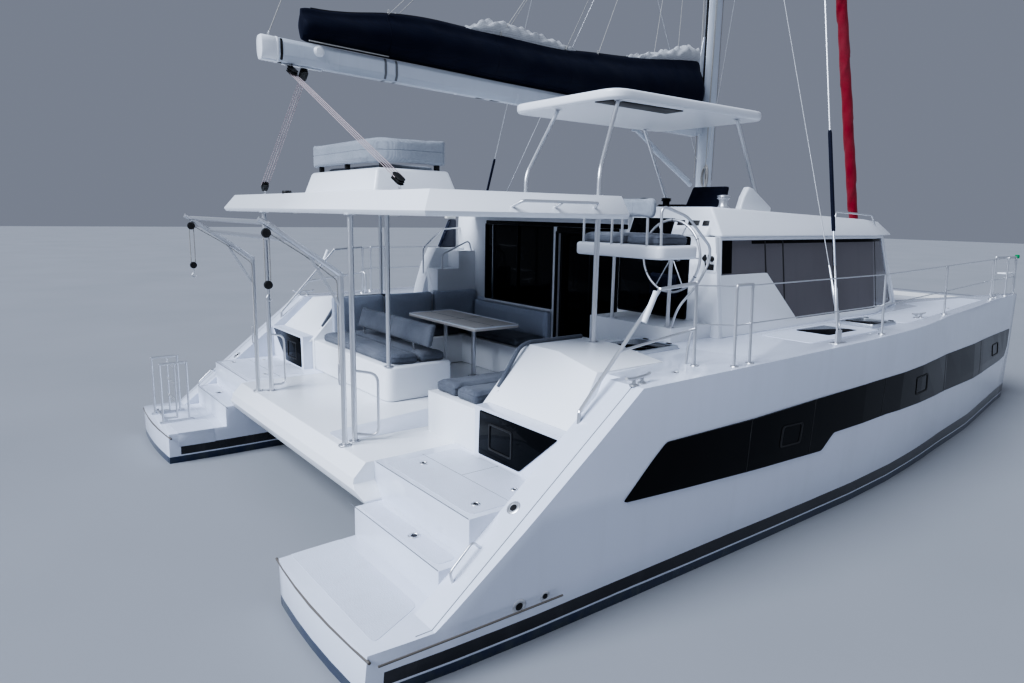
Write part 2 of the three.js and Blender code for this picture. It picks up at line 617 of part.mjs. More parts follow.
// Cabin: aft bulkhead, sliding door, side walls, front wall and their glass

const CABIN_Y = 2560;
const CABIN_LEAN = -0.126;
const WALL_FOOT_Z = 1700;
const DOOR_Y = [-1050, 50];
const DOOR_Z = [990, 2795];
const AFT_WINDOW = rectangle(150, 1650, 1797, 2870);
const WALL_FOOT_Y = 1900;
const WINDOW_SET = [42, 22];
const DOOR_LAP = 25;
const DOOR_FRONT = [10, 46];
const DOOR_RAIL = { deep: 55, aft: 30, fore: 1050, top: 950 };
const HELM_Y = -1200;
const sideY = (z) => CABIN_Y + CABIN_LEAN * (z - WALL_FOOT_Z);
const bulkheadBody = prism('yz', [
  [-sideY(WALL_FOOT_Z), WALL_FOOT_Z], [-WALL_FOOT_Y, WALL_FOOT_Z], [-WALL_FOOT_Y, SOLE_Z + GAP],
  [WALL_FOOT_Y, SOLE_Z + GAP], [WALL_FOOT_Y, WALL_FOOT_Z], [sideY(WALL_FOOT_Z), WALL_FOOT_Z],
  [sideY(ROOF_UNDER_Z), ROOF_UNDER_Z - GAP],
  [HELM_Y, ROOF_UNDER_Z - GAP], [HELM_Y, CABIN_TOP_Z - GAP], [-sideY(CABIN_TOP_Z), CABIN_TOP_Z - GAP],
], BULKHEAD_X - WALL, BULKHEAD_X);
const aftWindowAir = prism('yz', AFT_WINDOW, BULKHEAD_X - WALL - EMBED, BULKHEAD_X + EMBED);
const doorAir = block(BULKHEAD_X - WALL - EMBED, BULKHEAD_X + EMBED, ...DOOR_Y, ...DOOR_Z);
const doorRail = block(BULKHEAD_X - EMBED, BULKHEAD_X + DOOR_RAIL.deep,
  DOOR_Y[0] - DOOR_RAIL.aft, DOOR_Y[1] + DOOR_RAIL.fore, SOLE_Z + GAP, DOOR_RAIL.top);
const bulkhead = join(cut(clearOf(bulkheadBody, hulls, 'yz'), aftWindowAir, doorAir), doorRail);
add('aft_bulkhead', bulkhead, GELCOAT);
const windowPane = prism('yz', AFT_WINDOW, ...WINDOW_SET.map((set) => BULKHEAD_X - set));
add('aft_window', clearOf(windowPane, bulkhead, 'yz'), GLASS);
add('saloon_door', block(...DOOR_FRONT.map((front) => BULKHEAD_X + front),
  DOOR_Y[0] - DOOR_LAP, DOOR_Y[1] + DOOR_LAP, DOOR_RAIL.top + GAP, DOOR_Z[1] + DOOR_LAP), GLASS);

const BEND_X = 1500;
const FRONT_FOOT_X = 2790;
const FRONT_LEAN = -0.62;
const BEND_TAPER = -0.27;
const GLASS_FROM = 20;
const GLASS_TO = 40;
const frontX = (z) => FRONT_FOOT_X + FRONT_LEAN * (z - WALL_FOOT_Z);
// x and z around each side window, drawn on the flat wall
const SIDE_WINDOW = [
  [BULKHEAD_X + 60, 2795], [BULKHEAD_X + 25, 2435], [-950, 2435], [-380, 1885], [2560, 1885], [1990, 2795],
];

// A wall sheared to the cabin side's lean, and also turned inward ahead of the bend.
function sideSlab(outline, from, to) {
  const slab = prism('xz', outline, from, to);
  const halves = [[STERN_X, BEND_X, 0], [BEND_X, BOW_X, BEND_TAPER]].map(([x0, x1, taper]) => {
    const half = slab.intersect(block(x0, x1, from - EMBED, to + EMBED, 0, HELM_TOP_Z));
    const lean = new THREE.Matrix4().set(
      1, 0, 0, 0,
      taper, 1, CABIN_LEAN, CABIN_Y - CABIN_LEAN * WALL_FOOT_Z - taper * BEND_X,
      0, 0, 1, 0,
      0, 0, 0, 1);
    return half.transform(lean.elements);
  });
  return join(...halves);
}

const SIDE_FOOT_Z = 1650;
const sideWall = above(cut(sideSlab([
  [BULKHEAD_X + GAP, SIDE_FOOT_Z], [frontX(SIDE_FOOT_Z), SIDE_FOOT_Z],
  [frontX(CABIN_TOP_Z), CABIN_TOP_Z - GAP], [BULKHEAD_X + GAP, CABIN_TOP_Z - GAP],
], -WALL, 0), sideSlab(SIDE_WINDOW, -WALL - REACH, REACH)), hulls);
addPair('cabin_side', sideWall, GELCOAT);
addPair('side_window', clearOf(sideSlab(SIDE_WINDOW, -GLASS_TO, -GLASS_FROM), sideWall, 'xz'), TINTED);

// The front wall leans aft with the side walls' front edges.
function frontSlab(outline, from, to) {
  const slab = prism('yz', outline, from, to);
  const lean = new THREE.Matrix4().set(
    1, 0, FRONT_LEAN, FRONT_FOOT_X - FRONT_LEAN * WALL_FOOT_Z,
    0, 1, 0, 0,
    0, 0, 1, 0,
    0, 0, 0, 1);
  return slab.transform(lean.elements);
}

const FRONT_Y = 2230;
const FRONT_DOOR_Y = 330;
const FRONT_DOOR_Z = [1300, 2450];
const SCREEN_SET = [22, 40];
const WINDSCREEN = [[430, 1930], [2130, 1930], [2090, 2780], [430, 2780]];
const mirrorOutline = (outline) => outline.map(([y, z]) => [-y, z]);
const frontBody = frontSlab([
  [-FRONT_Y, PIT_SOLE_Z], [FRONT_Y, PIT_SOLE_Z], [FRONT_Y, CABIN_TOP_Z - GAP], [-FRONT_Y, CABIN_TOP_Z - GAP],
], GAP, WALL);
const frontHoles = [
  WINDSCREEN, mirrorOutline(WINDSCREEN), rectangle(-FRONT_DOOR_Y, FRONT_DOOR_Y, ...FRONT_DOOR_Z)];
const frontWall = cut(above(clearOf(frontBody, hulls, 'yz'), foredeck),
  ...frontHoles.map((hole) => frontSlab(hole, -REACH, WALL + REACH)));
add('cabin_front', frontWall, GELCOAT);
addPair('windscreen', clearOf(frontSlab(WINDSCREEN, ...SCREEN_SET), frontWall, 'yz'), GLASS);
const DOOR_CLEAR = 8;
const LEAF_Z = [1450, 2300];
const LEAF_TO = WALL + 14;
const DOOR_FROM = WALL - 18;
// The leaning door rises as it swings out, so its head clears the opening by more
const HEAD_CLEAR = 15;
const HINGE_Y = FRONT_DOOR_Y + 14;
const LEAF_LAP = 30;
const BRIDGE_LAP = 8;
const doorEdge = FRONT_DOOR_Y - DOOR_CLEAR;
const frontDoor = frontSlab(
  rectangle(-doorEdge, doorEdge, FRONT_DOOR_Z[0] + DOOR_CLEAR, FRONT_DOOR_Z[1] - HEAD_CLEAR), DOOR_FROM, WALL);
const hingeLeaf = frontSlab(rectangle(doorEdge - LEAF_LAP, HINGE_Y, ...LEAF_Z), WALL + GAP, LEAF_TO);
const hingeBridge = frontSlab(
  rectangle(doorEdge - LEAF_LAP, doorEdge - BRIDGE_LAP, ...LEAF_Z), WALL - EMBED, LEAF_TO);
add('forward_door', join(frontDoor, hingeBridge, hingeLeaf), GLASS);

// Coachroof with its sloped brow

// half plan of the brow's lower edge, then the same corners of its upper edge
const BROW_LOW = [[3130, 0], [3080, 1200], [2620, 2130], [1500, 2455], [BULKHEAD_X + 5, 2455]];
const BROW_HIGH = [[2900, 0], [2850, 1120], [2440, 2000], [1450, 2300], [BULKHEAD_X + 5, 2300]];
const ROOF_FALL = -0.03;
const COACH_TOP_Z = 3140;
const coachTopZ = (x) => COACH_TOP_Z + ROOF_FALL * (x - BULKHEAD_X);
const wholePlan = (half, height) => [
  ...half.map(([x, y]) => [x, y, height(x)]),
  ...half.slice(1).reverse().map(([x, y]) => [x, -y, height(x)]),
];
const roofBody = loft([wholePlan(BROW_LOW, () => CABIN_TOP_Z), wholePlan(BROW_HIGH, coachTopZ)], flatZ);
const DASH_OUT_Y = -2300;
// x from the bulkhead and z around the dash in front of the helm
const DASH = [[-WALL, CABIN_TOP_Z], [100, CABIN_TOP_Z], [100, 3100], [30, 3060]];
const dash = prism('xz', DASH.map(([x, z]) => [BULKHEAD_X + x, z]), DASH_OUT_Y, HELM_Y - GAP);
const coachroof = add('coachroof', join(roofBody, dash), GELCOAT);

// Cockpit roof with the helm's cut-out, and its posts

const ROOF_AFT_X = -5350;
// x and y of the corner cut out of the roof above the port stairs
const ROOF_NOTCH = [-2720, 1960];
const ROOF_HALF = 2500;
const ROOF_HELM = [-3335, -2600];
const ROOF_FORE_X = BULKHEAD_X + 4;
const roofPlan = (inset) => [
  [ROOF_AFT_X + inset, -ROOF_HALF + inset], [ROOF_HELM[0], ROOF_HELM[1] + inset], [ROOF_HELM[0], HELM_Y],
  [ROOF_FORE_X, HELM_Y], [ROOF_FORE_X, ROOF_NOTCH[1]], ROOF_NOTCH, [ROOF_NOTCH[0], ROOF_HALF - inset],
  [ROOF_AFT_X + inset, ROOF_HALF - inset],
];
// inset from the roof's widest line and z of each level
const ROOF_LEVELS = [[20, ROOF_UNDER_Z], [0, 3040], [110, ROOF_TOP_Z]];
const cockpitRoof = loft(ROOF_LEVELS.map(([inset, z]) => roofPlan(inset).map(([x, y]) => [x, y, z])), flatZ);

const POST_R = 26;
// x and y of each upright post and a z inside what carries it
const POSTS = [
  [-5300, -1130, 900], [-4385, -60, 1250], [-3380, -2250, 1810], [-5300, 1130, 900], [-3290, 2250, 1810],
];
const postFloor = join(bridgedeck, coamingStarboard, coamingPort, benchBase);
const posts = POSTS.map(([x, y, footZ]) => cut(
  rod([x, y, footZ], [x, y, ROOF_UNDER_Z + REACH], POST_R, 10), moved(postFloor, 0, 0, GAP)));
add('cockpit_roof', join(cockpitRoof, ...posts), GELCOAT);

// Lounge on the cockpit roof

const LOUNGE_DECK_X = [-5000, -4080];
const LOUNGE_DECK_Y = [-1000, 700];
const LOUNGE_TOP_Z = 3430;
const LOUNGE_SLOPE = 70;
const REST_TOP_Z = 3720;
const REST_THICK = 120;
const REST_IN = 75;
const loungeLevel = (inset, z) => rectangle(
  LOUNGE_DECK_X[0] + inset, LOUNGE_DECK_X[1] - inset, LOUNGE_DECK_Y[0] + inset, LOUNGE_DECK_Y[1] - inset,
).map(([x, y]) => [x, y, z]);
add('roof_lounge', loft(
  [loungeLevel(0, ROOF_TOP_Z + GAP), loungeLevel(LOUNGE_SLOPE, LOUNGE_TOP_Z)], flatZ), GELCOAT);
const restX = LOUNGE_DECK_X[0] + REST_IN;
const restY = LOUNGE_DECK_Y[0] + REST_IN + 5;
add('roof_lounge_backrest', join(
  block(restX, restX + REST_THICK, restY + EMBED, LOUNGE_DECK_Y[1] - 80, LOUNGE_TOP_Z + GAP, REST_TOP_Z),
  block(restX, LOUNGE_DECK_X[1] - 80, restY, restY + REST_THICK, LOUNGE_TOP_Z + GAP, REST_TOP_Z)),
LIGHT_CUSHION);

// Helm seat, cushion and wheel

const HELM_SEAT_X = [-2960, -2400];
const HELM_SEAT_Y = [-2650, -1480];
const HELM_SEAT_Z = [2630, 2760];
const SEAT_LEG = { x: -2440, ys: [-2340, -1560] };
const SEAT_BACK_PAD = { x: [-2980, -2910], y: [-2550, -2050], z: [3010, 3210] };
const BACK_LEG = { x: -2940, ys: [-2460, -2140], top: 3050 };
const SIDE_RAIL_Y = -2590;
const SIDE_RAIL_R = 14;
const seatInside = HELM_SEAT_Z[1] - REACH;
const SIDE_RAIL = [[-2920, seatInside], [-2920, 3120], [-2480, 3060], [-2480, seatInside]];
const seatLegs = SEAT_LEG.ys.map((y) => rod(
  [SEAT_LEG.x, y, PLINTH_TOP_Z + GAP], [SEAT_LEG.x, y, HELM_SEAT_Z[0] + EMBED], STOUT_TUBE));
const seatRail = pipe(SIDE_RAIL.map(([x, z]) => [x, SIDE_RAIL_Y, z]), SIDE_RAIL_R);
const backLegs = BACK_LEG.ys.map((y) => rod(
  [BACK_LEG.x, y, seatInside], [BACK_LEG.x, y, BACK_LEG.top], SLIM_TUBE));
add('helm_seat', join(block(...HELM_SEAT_X, ...HELM_SEAT_Y, ...HELM_SEAT_Z), ...seatLegs, seatRail,
  block(...SEAT_BACK_PAD.x, ...SEAT_BACK_PAD.y, ...SEAT_BACK_PAD.z), ...backLegs), GELCOAT);
const HELM_PAD = { x: [-2900, -2405], y: [-2560, -1490], thick: 90 };
add('helm_cushion', block(
  ...HELM_PAD.x, ...HELM_PAD.y, HELM_SEAT_Z[1] + GAP, HELM_SEAT_Z[1] + HELM_PAD.thick), LIGHT_CUSHION);

const WHEEL = [-1990, -1960, 2610];
const WHEEL_R = 385;
const SPOKES = 6;
const SPOKE_R = 9;
const RIM_R = 14;
const WHEEL_HUB = { aft: 25, radius: 45 };
const wheelRing = new THREE.TorusGeometry(WHEEL_R, RIM_R, 6, 28).rotateY(Math.PI / 2).translate(...WHEEL);
const wheelHub = rod([WHEEL[0] - WHEEL_HUB.aft, WHEEL[1], WHEEL[2]],
  [BULKHEAD_X - WALL - GAP, WHEEL[1], WHEEL[2]], WHEEL_HUB.radius, 12);
const spokes = Array.from({ length: SPOKES }, (unused, at) => {
  const angle = (at * 2 * Math.PI) / SPOKES;
  const end = [WHEEL[0], WHEEL[1] + Math.cos(angle) * WHEEL_R, WHEEL[2] + Math.sin(angle) * WHEEL_R];
  return rod(WHEEL, end, SPOKE_R);
});
add('helm_wheel', join(solidOf(wheelRing), wheelHub, ...spokes), STEEL);

// Helm top and its frame of tubes

const HELM_TOP_X = [-3030, -570];
const HELM_TOP_Y = [-2070, -430];
const roundedPlan = (x0, x1, y0, y1, radius) => {
  const shape = new THREE.Shape();
  shape.moveTo(x0 + radius, y0);
  shape.lineTo(x1 - radius, y0).quadraticCurveTo(x1, y0, x1, y0 + radius);
  shape.lineTo(x1, y1 - radius).quadraticCurveTo(x1, y1, x1 - radius, y1);
  shape.lineTo(x0 + radius, y1).quadraticCurveTo(x0, y1, x0, y1 - radius);
  shape.lineTo(x0, y0 + radius).quadraticCurveTo(x0, y0, x0 + radius, y0);
  return shape;
};
const HELM_TOP_CORNER = 220;
const helmTopPlan = roundedPlan(...HELM_TOP_X, ...HELM_TOP_Y, HELM_TOP_CORNER);
add('helm_top', prism('xy', helmTopPlan, HELM_TOP_UNDER_Z, HELM_TOP_Z), GELCOAT);
const RING_Z = HELM_TOP_UNDER_Z - TUBE - 3;
// how far the ring of tubes stands in from the top's aft, fore and side edges
const RING_IN = { aft: 160, fore: 400, side: 130 };
const TOP_PAD_R = 30;
const ringX = [HELM_TOP_X[0] + RING_IN.aft, HELM_TOP_X[1] - RING_IN.fore];
const ringY = [HELM_TOP_Y[0] + RING_IN.side, HELM_TOP_Y[1] - RING_IN.side];
const INNER_HEAD_Y = ringY[1] - 500;
// y of the foot and of the head of each aft leg
const AFT_LEGS = [[-2370, ringY[0]], [-1330, INNER_HEAD_Y]];
const AFT_LEG_X = -3500;
const AFT_LEG_Z = [3100, 3410];
const FORE_LEG_FOOT = [-330, 3000];
const topRing = pipe([
  [ringX[0], ringY[0], RING_Z], [ringX[1], ringY[0], RING_Z], [ringX[1], ringY[1], RING_Z],
  [ringX[0], ringY[1], RING_Z], [ringX[0], ringY[0], RING_Z],
], TUBE);
const aftLegs = AFT_LEGS.map(([foot, head]) => pipe([
  ...AFT_LEG_Z.map((z) => [AFT_LEG_X, foot, z]), [ringX[0], head, RING_Z]], STOUT_TUBE));
const foreLegs = ringY.map((y) => rod(
  [FORE_LEG_FOOT[0], y, FORE_LEG_FOOT[1]], [ringX[1], y, RING_Z], STOUT_TUBE));
const topPads = ringY.flatMap((y) => ringX.map((x) => rod(
  [x, y, RING_Z], [x, y, HELM_TOP_UNDER_Z - GAP], TOP_PAD_R)));
const crossTube = rod([ringX[0], INNER_HEAD_Y, RING_Z], [ringX[0], ringY[1], RING_Z], TUBE);
add('helm_top_frame', cut(join(topRing, crossTube, ...aftLegs, ...foreLegs, ...topPads),
  moved(cockpitRoof, 0, 0, GAP), moved(coachroof, 0, 0, GAP)), STEEL);

// Mast with spreaders, boom, sail bag, furled headsail and cap shrouds

const MAST_CHORD = 300;
const MAST_WIDE = 180;
const mastSection = new THREE.Shape();
mastSection.absellipse(MAST_X, 0, MAST_CHORD / 2, MAST_WIDE / 2, 0, Math.PI * 2);
const MAST_FOOT_Z = 2900;
const mastTube = solidOf(new THREE.ExtrudeGeometry(mastSection, {
  depth: MAST_TOP_Z - MAST_FOOT_Z, bevelEnabled: false, curveSegments: 7 }).translate(0, 0, MAST_FOOT_Z));
const SPREADER_R = 26;
const SHROUD_FOOT = [-1060, 3400, 1790];
const SHROUD_HEAD = [MAST_X - 60, 95, 17500];
const SPREADER_Z = 9900;
const shroudShare = (SPREADER_Z - SHROUD_FOOT[2]) / (SHROUD_HEAD[2] - SHROUD_FOOT[2]);
const spreaderTip = SHROUD_FOOT.map((foot, axis) => foot + (SHROUD_HEAD[axis] - foot) * shroudShare);
const spreader = rod([MAST_X - REACH, 0, SPREADER_Z], [
  spreaderTip[0], spreaderTip[1] - WIRE - SPREADER_R, spreaderTip[2]], SPREADER_R);
const BOOM_PIN_X = MAST_X - MAST_CHORD / 2 - 95;
const BOOM_Z = [4215, 4400];
const FORK_THICK = 30;
const GOOSENECK = { half: 30, radius: 38, fore: MAST_X - 100 };
const gooseneckZ = [BOOM_Z[0] + FORK_THICK, BOOM_Z[1] - FORK_THICK];
const gooseneck = join(
  block(BOOM_PIN_X, GOOSENECK.fore, -GOOSENECK.half, GOOSENECK.half, ...gooseneckZ),
  rod([BOOM_PIN_X, 0, gooseneckZ[0]], [BOOM_PIN_X, 0, gooseneckZ[1]], GOOSENECK.radius, 12));
const MAST_HEAD = { x: [MAST_X - 330, MAST_X + 200], half: 40, z: [MAST_TOP_Z - 90, MAST_TOP_Z - 10] };
const mastHead = block(...MAST_HEAD.x, -MAST_HEAD.half, MAST_HEAD.half, ...MAST_HEAD.z);
const mast = add('mast', above(join(
  mastTube, spreader, mirrored(spreader), gooseneck, mastHead), coachroof), SPAR);

const BOOM_END_X = -5640;
const BOOM_START_X = BOOM_PIN_X - 70;
const BOOM_RISE = -0.033;
const BOOM_END_Z = 4410;
const BOOM_DEEP = 215;
const BOOM_HALF = 75;
const FORK_HALF = 34;
const FORK_LAP = 80;
const boomUnderZ = (x) => BOOM_END_Z + BOOM_RISE * (x - BOOM_END_X);
const boomTopZ = (x) => boomUnderZ(x) + BOOM_DEEP;
// y and height above the boom's underside, up its port side
const BOOM_SIDE = [[45, 0], [BOOM_HALF, 60], [BOOM_HALF, 175], [52, BOOM_DEEP]];
const boomSection = [...BOOM_SIDE, ...BOOM_SIDE.map(([y, up]) => [-y, up]).reverse()];
const boomRing = (x) => boomSection.map(([y, up]) => [x, y, boomUnderZ(x) + up]);
const boomBar = loft([boomRing(BOOM_END_X), boomRing(BOOM_START_X)], flatX);
const forkPlate = (z0, z1) => join(
  block(BOOM_START_X - FORK_LAP, BOOM_PIN_X, -FORK_HALF, FORK_HALF, z0, z1),
  rod([BOOM_PIN_X, 0, z0], [BOOM_PIN_X, 0, z1], FORK_HALF, 12));
const boom = add('boom', join(boomBar,
  forkPlate(BOOM_Z[0] + 5, gooseneckZ[0] - GAP), forkPlate(gooseneckZ[1] + GAP, BOOM_Z[1] - 8)), SPAR);

// x, half width and top z along the sail bag
const BAG = [
  [-5230, 90, 4860], [-5080, 130, 4920], [-4290, 170, 5030], [-2900, 190, 5050], [-1400, 200, 5090],
  [0, 205, 5210], [700, 190, 5290],
];
// shares of the bag's half width at its foot, at its shoulders and at its top
const BAG_SHARES = { foot: 0.55, shoulder: 0.9, top: 0.35 };
const BAG_BULGE = 110;
const BAG_SHOULDER = 90;
function bagRing([x, half, top]) {
  const side = [
    [half * BAG_SHARES.foot, boomTopZ(x) + GAP], [half, boomTopZ(x) + BAG_BULGE],
    [half * BAG_SHARES.shoulder, top - BAG_SHOULDER], [half * BAG_SHARES.top, top],
  ];
  return [...side, ...side.map(([y, z]) => [-y, z]).reverse()].map(([y, z]) => [x, y, z]);
}
add('sail_bag', loft(BAG.map(bagRing), flatX), NAVY_CLOTH);

const stayLength = new THREE.Vector3(...FORESTAY_FOOT).distanceTo(new THREE.Vector3(...FORESTAY_HEAD));
const STAY_END = stayLength + 150;
// radius and distance up the stay: its foot, the furling drum, the rolled sail and the bare top
const ROLL_PROFILE = [
  [0, -80], [22, -80], [30, 60], [85, 70], [85, 150], [30, 160], [38, 420], [98, 1300], [92, 8000],
  [46, 14600], [14, 15100], [14, STAY_END], [0, STAY_END],
];
const furled = turned(ROLL_PROFILE, FORESTAY_FOOT, FORESTAY_HEAD, 10);
add('furled_sail', clearOf(cut(furled, moved(mastTube, GAP, 0, 0), moved(mast, GAP, 0, 0)),
  foreCrossbeam, 'xz'), RED_CLOTH);

const CHAINPLATE = { along: 45, across: 10, z: [1700, 1930] };
const [chainX, chainY] = SHROUD_FOOT;
const chainplate = block(chainX - CHAINPLATE.along, chainX + CHAINPLATE.along,
  chainY - CHAINPLATE.across, chainY + CHAINPLATE.across, ...CHAINPLATE.z);
const shroud = join(rod(SHROUD_FOOT, SHROUD_HEAD, WIRE + 2), chainplate);
addPair('cap_shroud', cut(above(shroud, hullPort),
  moved(mast, -GAP, 0, 0), moved(mast, 0, GAP, 0)), STEEL);

// Guardrails: stanchions and lifelines, the bow pulpit and the aft handrail

const RAIL_Z = 2460;
const MID_RAIL_Z = 2130;
// x and y of each stanchion foot
const STANCHIONS = [[-2870, 3455], [-2640, 3450], [-170, 3420], [2200, 3110], [4860, 2745], [6180, 2625]];
const POST_LEAN = -0.04;
const STANCHION_R = 14;
const RAIL_FOOT_Z = SHEER_Z - 60;
const stanchionTop = ([x, y], z) => [x, y + POST_LEAN * (z - SHEER_Z), z];
const stanchions = STANCHIONS.map((foot) => rod(
  [...foot, RAIL_FOOT_Z], stanchionTop(foot, RAIL_Z), STANCHION_R));
const lifelines = [RAIL_Z, MID_RAIL_Z].flatMap((z) => STANCHIONS.slice(1).map(
  (foot, at) => rod(stanchionTop(STANCHIONS[at], z), stanchionTop(foot, z), WIRE)));
const PULPIT = [
  [5650, 2500, RAIL_FOOT_Z], [5650, 2480, RAIL_Z], [6180, 2600, RAIL_Z], [6250, 2590, RAIL_Z - 60],
  [6290, 2600, RAIL_FOOT_Z],
];
const PULPIT_SIDE = [
  stanchionTop([5650, 2680], RAIL_FOOT_Z), stanchionTop([5650, 2690], RAIL_Z), PULPIT[2],
];
const AFT_RAIL = [
  [-4430, 3200, 1340], [-4420, 3200, 1560], [-3580, 3200, 2450], [-3120, 3200, 2480],
  [-3120, 3230, RAIL_FOOT_Z],
];
const AFT_MID_RAIL = [[-4030, 3200, 1985], [-3120, 3215, 2090]];
const GATE_FOOT = [-3120, 3210];
const gateLines = [RAIL_Z, MID_RAIL_Z].map((z) => rod([...GATE_FOOT, z], stanchionTop(STANCHIONS[0], z), WIRE));
addPair('guardrail', above(join(...stanchions, ...lifelines, pipe(PULPIT, TUBE), pipe(PULPIT_SIDE, TUBE),
  pipe(AFT_RAIL, TUBE), rod(...AFT_MID_RAIL, SLIM_TUBE), ...gateLines), hullPort), STEEL);

// Davits over the stern

const DAVIT_X = -5430;
const DAVIT_Y = 1200;
const DAVIT_R = 24;
// x and z up each davit, then of its brace and of the two ties between the pair
const DAVIT_ARM = [[DAVIT_X, SOLE_Z + GAP], [DAVIT_X, 2480], [-6050, 2915], [-6120, 2950]];
const DAVIT_BRACE = [[DAVIT_X, 2180], [-5720, 2675]];
const DAVIT_TIES = [[-6070, 2925], [-5880, 2785]];
const davitArm = (y) => pipe(DAVIT_ARM.map(([x, z]) => [x, y, z]), DAVIT_R, 10);
const davitBrace = (y) => pipe(DAVIT_BRACE.map(([x, z]) => [x, y, z]), SLIM_TUBE);
const davitTies = DAVIT_TIES.map(([x, z]) => rod([x, -DAVIT_Y, z], [x, DAVIT_Y, z], STOUT_TUBE));
add('davits', join(...[-DAVIT_Y, DAVIT_Y].flatMap((y) => [davitArm(y), davitBrace(y)]), ...davitTies), STEEL);

// Saloon furniture seen through the glass: a counter and a seat on one plinth

const COUNTER = { x: [-600, 2300], y: [900, 1600], z: 1360 };
const SEAT_END = { x: 1700, y: -1300 };
const SEAT_REST = { y: 1480, z: 1800 };
add('saloon_furniture', join(
  block(...COUNTER.x, ...COUNTER.y, SOLE_Z + GAP, COUNTER.z),
  block(SEAT_END.x, COUNTER.x[1], SEAT_END.y, COUNTER.y[1], SOLE_Z + GAP, COUNTER.z),
  block(...COUNTER.x, SEAT_REST.y, COUNTER.y[1], SOLE_Z + GAP, SEAT_REST.z)), GELCOAT);

// Hatch lids, each with its hinge on the forward edge

const LID_CLEAR = 5;
function hatchLid([x0, x1, y0, y1], deckZ) {
  return block(x0 + LID_CLEAR, x1 - LID_CLEAR, y0 + LID_CLEAR, y1 - LID_CLEAR,
    SHEER_Z - HATCH_DEPTH + GAP, deckZ);
}
const AFT_LID_Z = 1790;
const SIDE_LID_Z = 1830;
add('aft_hatch_lid', hatchLid(AFT_HATCH, AFT_LID_Z), GLASS);
addPair('side_hatch_lid', hatchLid(SIDE_HATCH, SIDE_LID_Z), GLASS);

// Swim ladder standing folded between two hoops on the port platform

const HOOP_Y = [2400, 2890];
const HOOP_X = [-6245, -5940];
const HOOP_R = 14;
const HOOP_TOP_Z = 1120;
const HOOP_BAR_X = [-6285, -5890];
const HOOP_BAR_Z = [PLATFORM_Z + GAP, PLATFORM_Z + 22];
const LADDER_Y = [2440, 2850];
const LADDER_R = 12;
const LADDER_REACH = 144;
const LADDER_TOP_Z = 1100;
const PIVOT = { x: -6216, z: PLATFORM_Z + 48, r: 9, hole: 9.6 };
const RUNG_SHARES = [0.3, 0.62, 0.94];
const PIVOT_SIDES = 16;
const LUG_THICK = 5;
const PIN_OUT = 8;
const hoopFootZ = HOOP_BAR_Z[0] + 5;
const pivotHole = rod([PIVOT.x, HOOP_Y[0] - REACH, PIVOT.z], [PIVOT.x, HOOP_Y[1] + REACH, PIVOT.z],
  PIVOT.hole, PIVOT_SIDES);
const ladderHoop = (y) => cut(join(
  block(...HOOP_BAR_X, y - HOOP_R, y + HOOP_R, ...HOOP_BAR_Z),
  block(HOOP_X[0], PIVOT.x + REACH, y - LUG_THICK, y + LUG_THICK, hoopFootZ, PIVOT.z + REACH),
  pipe([
    [HOOP_X[0], y, hoopFootZ], [HOOP_X[0], y, HOOP_TOP_Z], [HOOP_X[1], y, HOOP_TOP_Z],
    [HOOP_X[1], y, hoopFootZ],
  ], HOOP_R)), pivotHole);
add('ladder_hoop_starboard', ladderHoop(HOOP_Y[0]), STEEL);
add('ladder_hoop_port', ladderHoop(HOOP_Y[1]), STEEL);
const ladderX = PIVOT.x + LADDER_REACH;
const ladderRails = LADDER_Y.map((y) => pipe([
  [PIVOT.x, y, PIVOT.z], [ladderX, y, PIVOT.z], [ladderX, y, LADDER_TOP_Z]], LADDER_R));
const ladderRungs = RUNG_SHARES.map((share) => {
  const z = PIVOT.z + (LADDER_TOP_Z - PIVOT.z) * share;
  return rod([ladderX, LADDER_Y[0], z], [ladderX, LADDER_Y[1], z], LADDER_R);
});
const ladderPin = rod([PIVOT.x, HOOP_Y[0] - PIN_OUT, PIVOT.z], [PIVOT.x, HOOP_Y[1] + PIN_OUT, PIVOT.z],
  PIVOT.r, PIVOT_SIDES);
add('swim_ladder', join(...ladderRails, ...ladderRungs, ladderPin), STEEL);

export default boat;
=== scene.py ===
import json
import math

import bpy
from mathutils import Matrix, Vector


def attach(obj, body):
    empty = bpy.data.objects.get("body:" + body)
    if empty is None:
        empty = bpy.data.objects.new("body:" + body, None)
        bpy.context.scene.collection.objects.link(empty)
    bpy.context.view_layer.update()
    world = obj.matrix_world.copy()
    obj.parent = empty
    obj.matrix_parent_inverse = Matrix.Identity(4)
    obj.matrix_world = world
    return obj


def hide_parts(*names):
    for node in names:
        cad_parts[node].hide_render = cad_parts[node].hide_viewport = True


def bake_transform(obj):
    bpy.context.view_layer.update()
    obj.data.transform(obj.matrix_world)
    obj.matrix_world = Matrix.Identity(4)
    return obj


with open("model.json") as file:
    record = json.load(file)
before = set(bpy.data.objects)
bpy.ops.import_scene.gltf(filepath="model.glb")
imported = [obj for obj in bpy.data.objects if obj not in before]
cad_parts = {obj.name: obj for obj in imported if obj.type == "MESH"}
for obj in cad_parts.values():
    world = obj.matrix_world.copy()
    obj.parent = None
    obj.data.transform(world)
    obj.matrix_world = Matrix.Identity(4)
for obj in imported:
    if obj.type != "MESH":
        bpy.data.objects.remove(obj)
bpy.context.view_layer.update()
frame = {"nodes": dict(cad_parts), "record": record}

bl_info = {
    "name": "Sailing Catamaran",
    "version": (1, 0, 0),
    "blender": (4, 5, 0),
    "location": "3D View > Sidebar > Catamaran",
    "description": "Builds the finished surfaces, cushions, rigging and fittings of a cruising catamaran",
    "category": "Object",
}

AXES = {"xy": (0, 1, 2), "xz": (0, 2, 1), "yz": (1, 2, 0)}
UP, DOWN = (0, 0, 1), (0, 0, -1)
BOOM = "boom_and_bag"


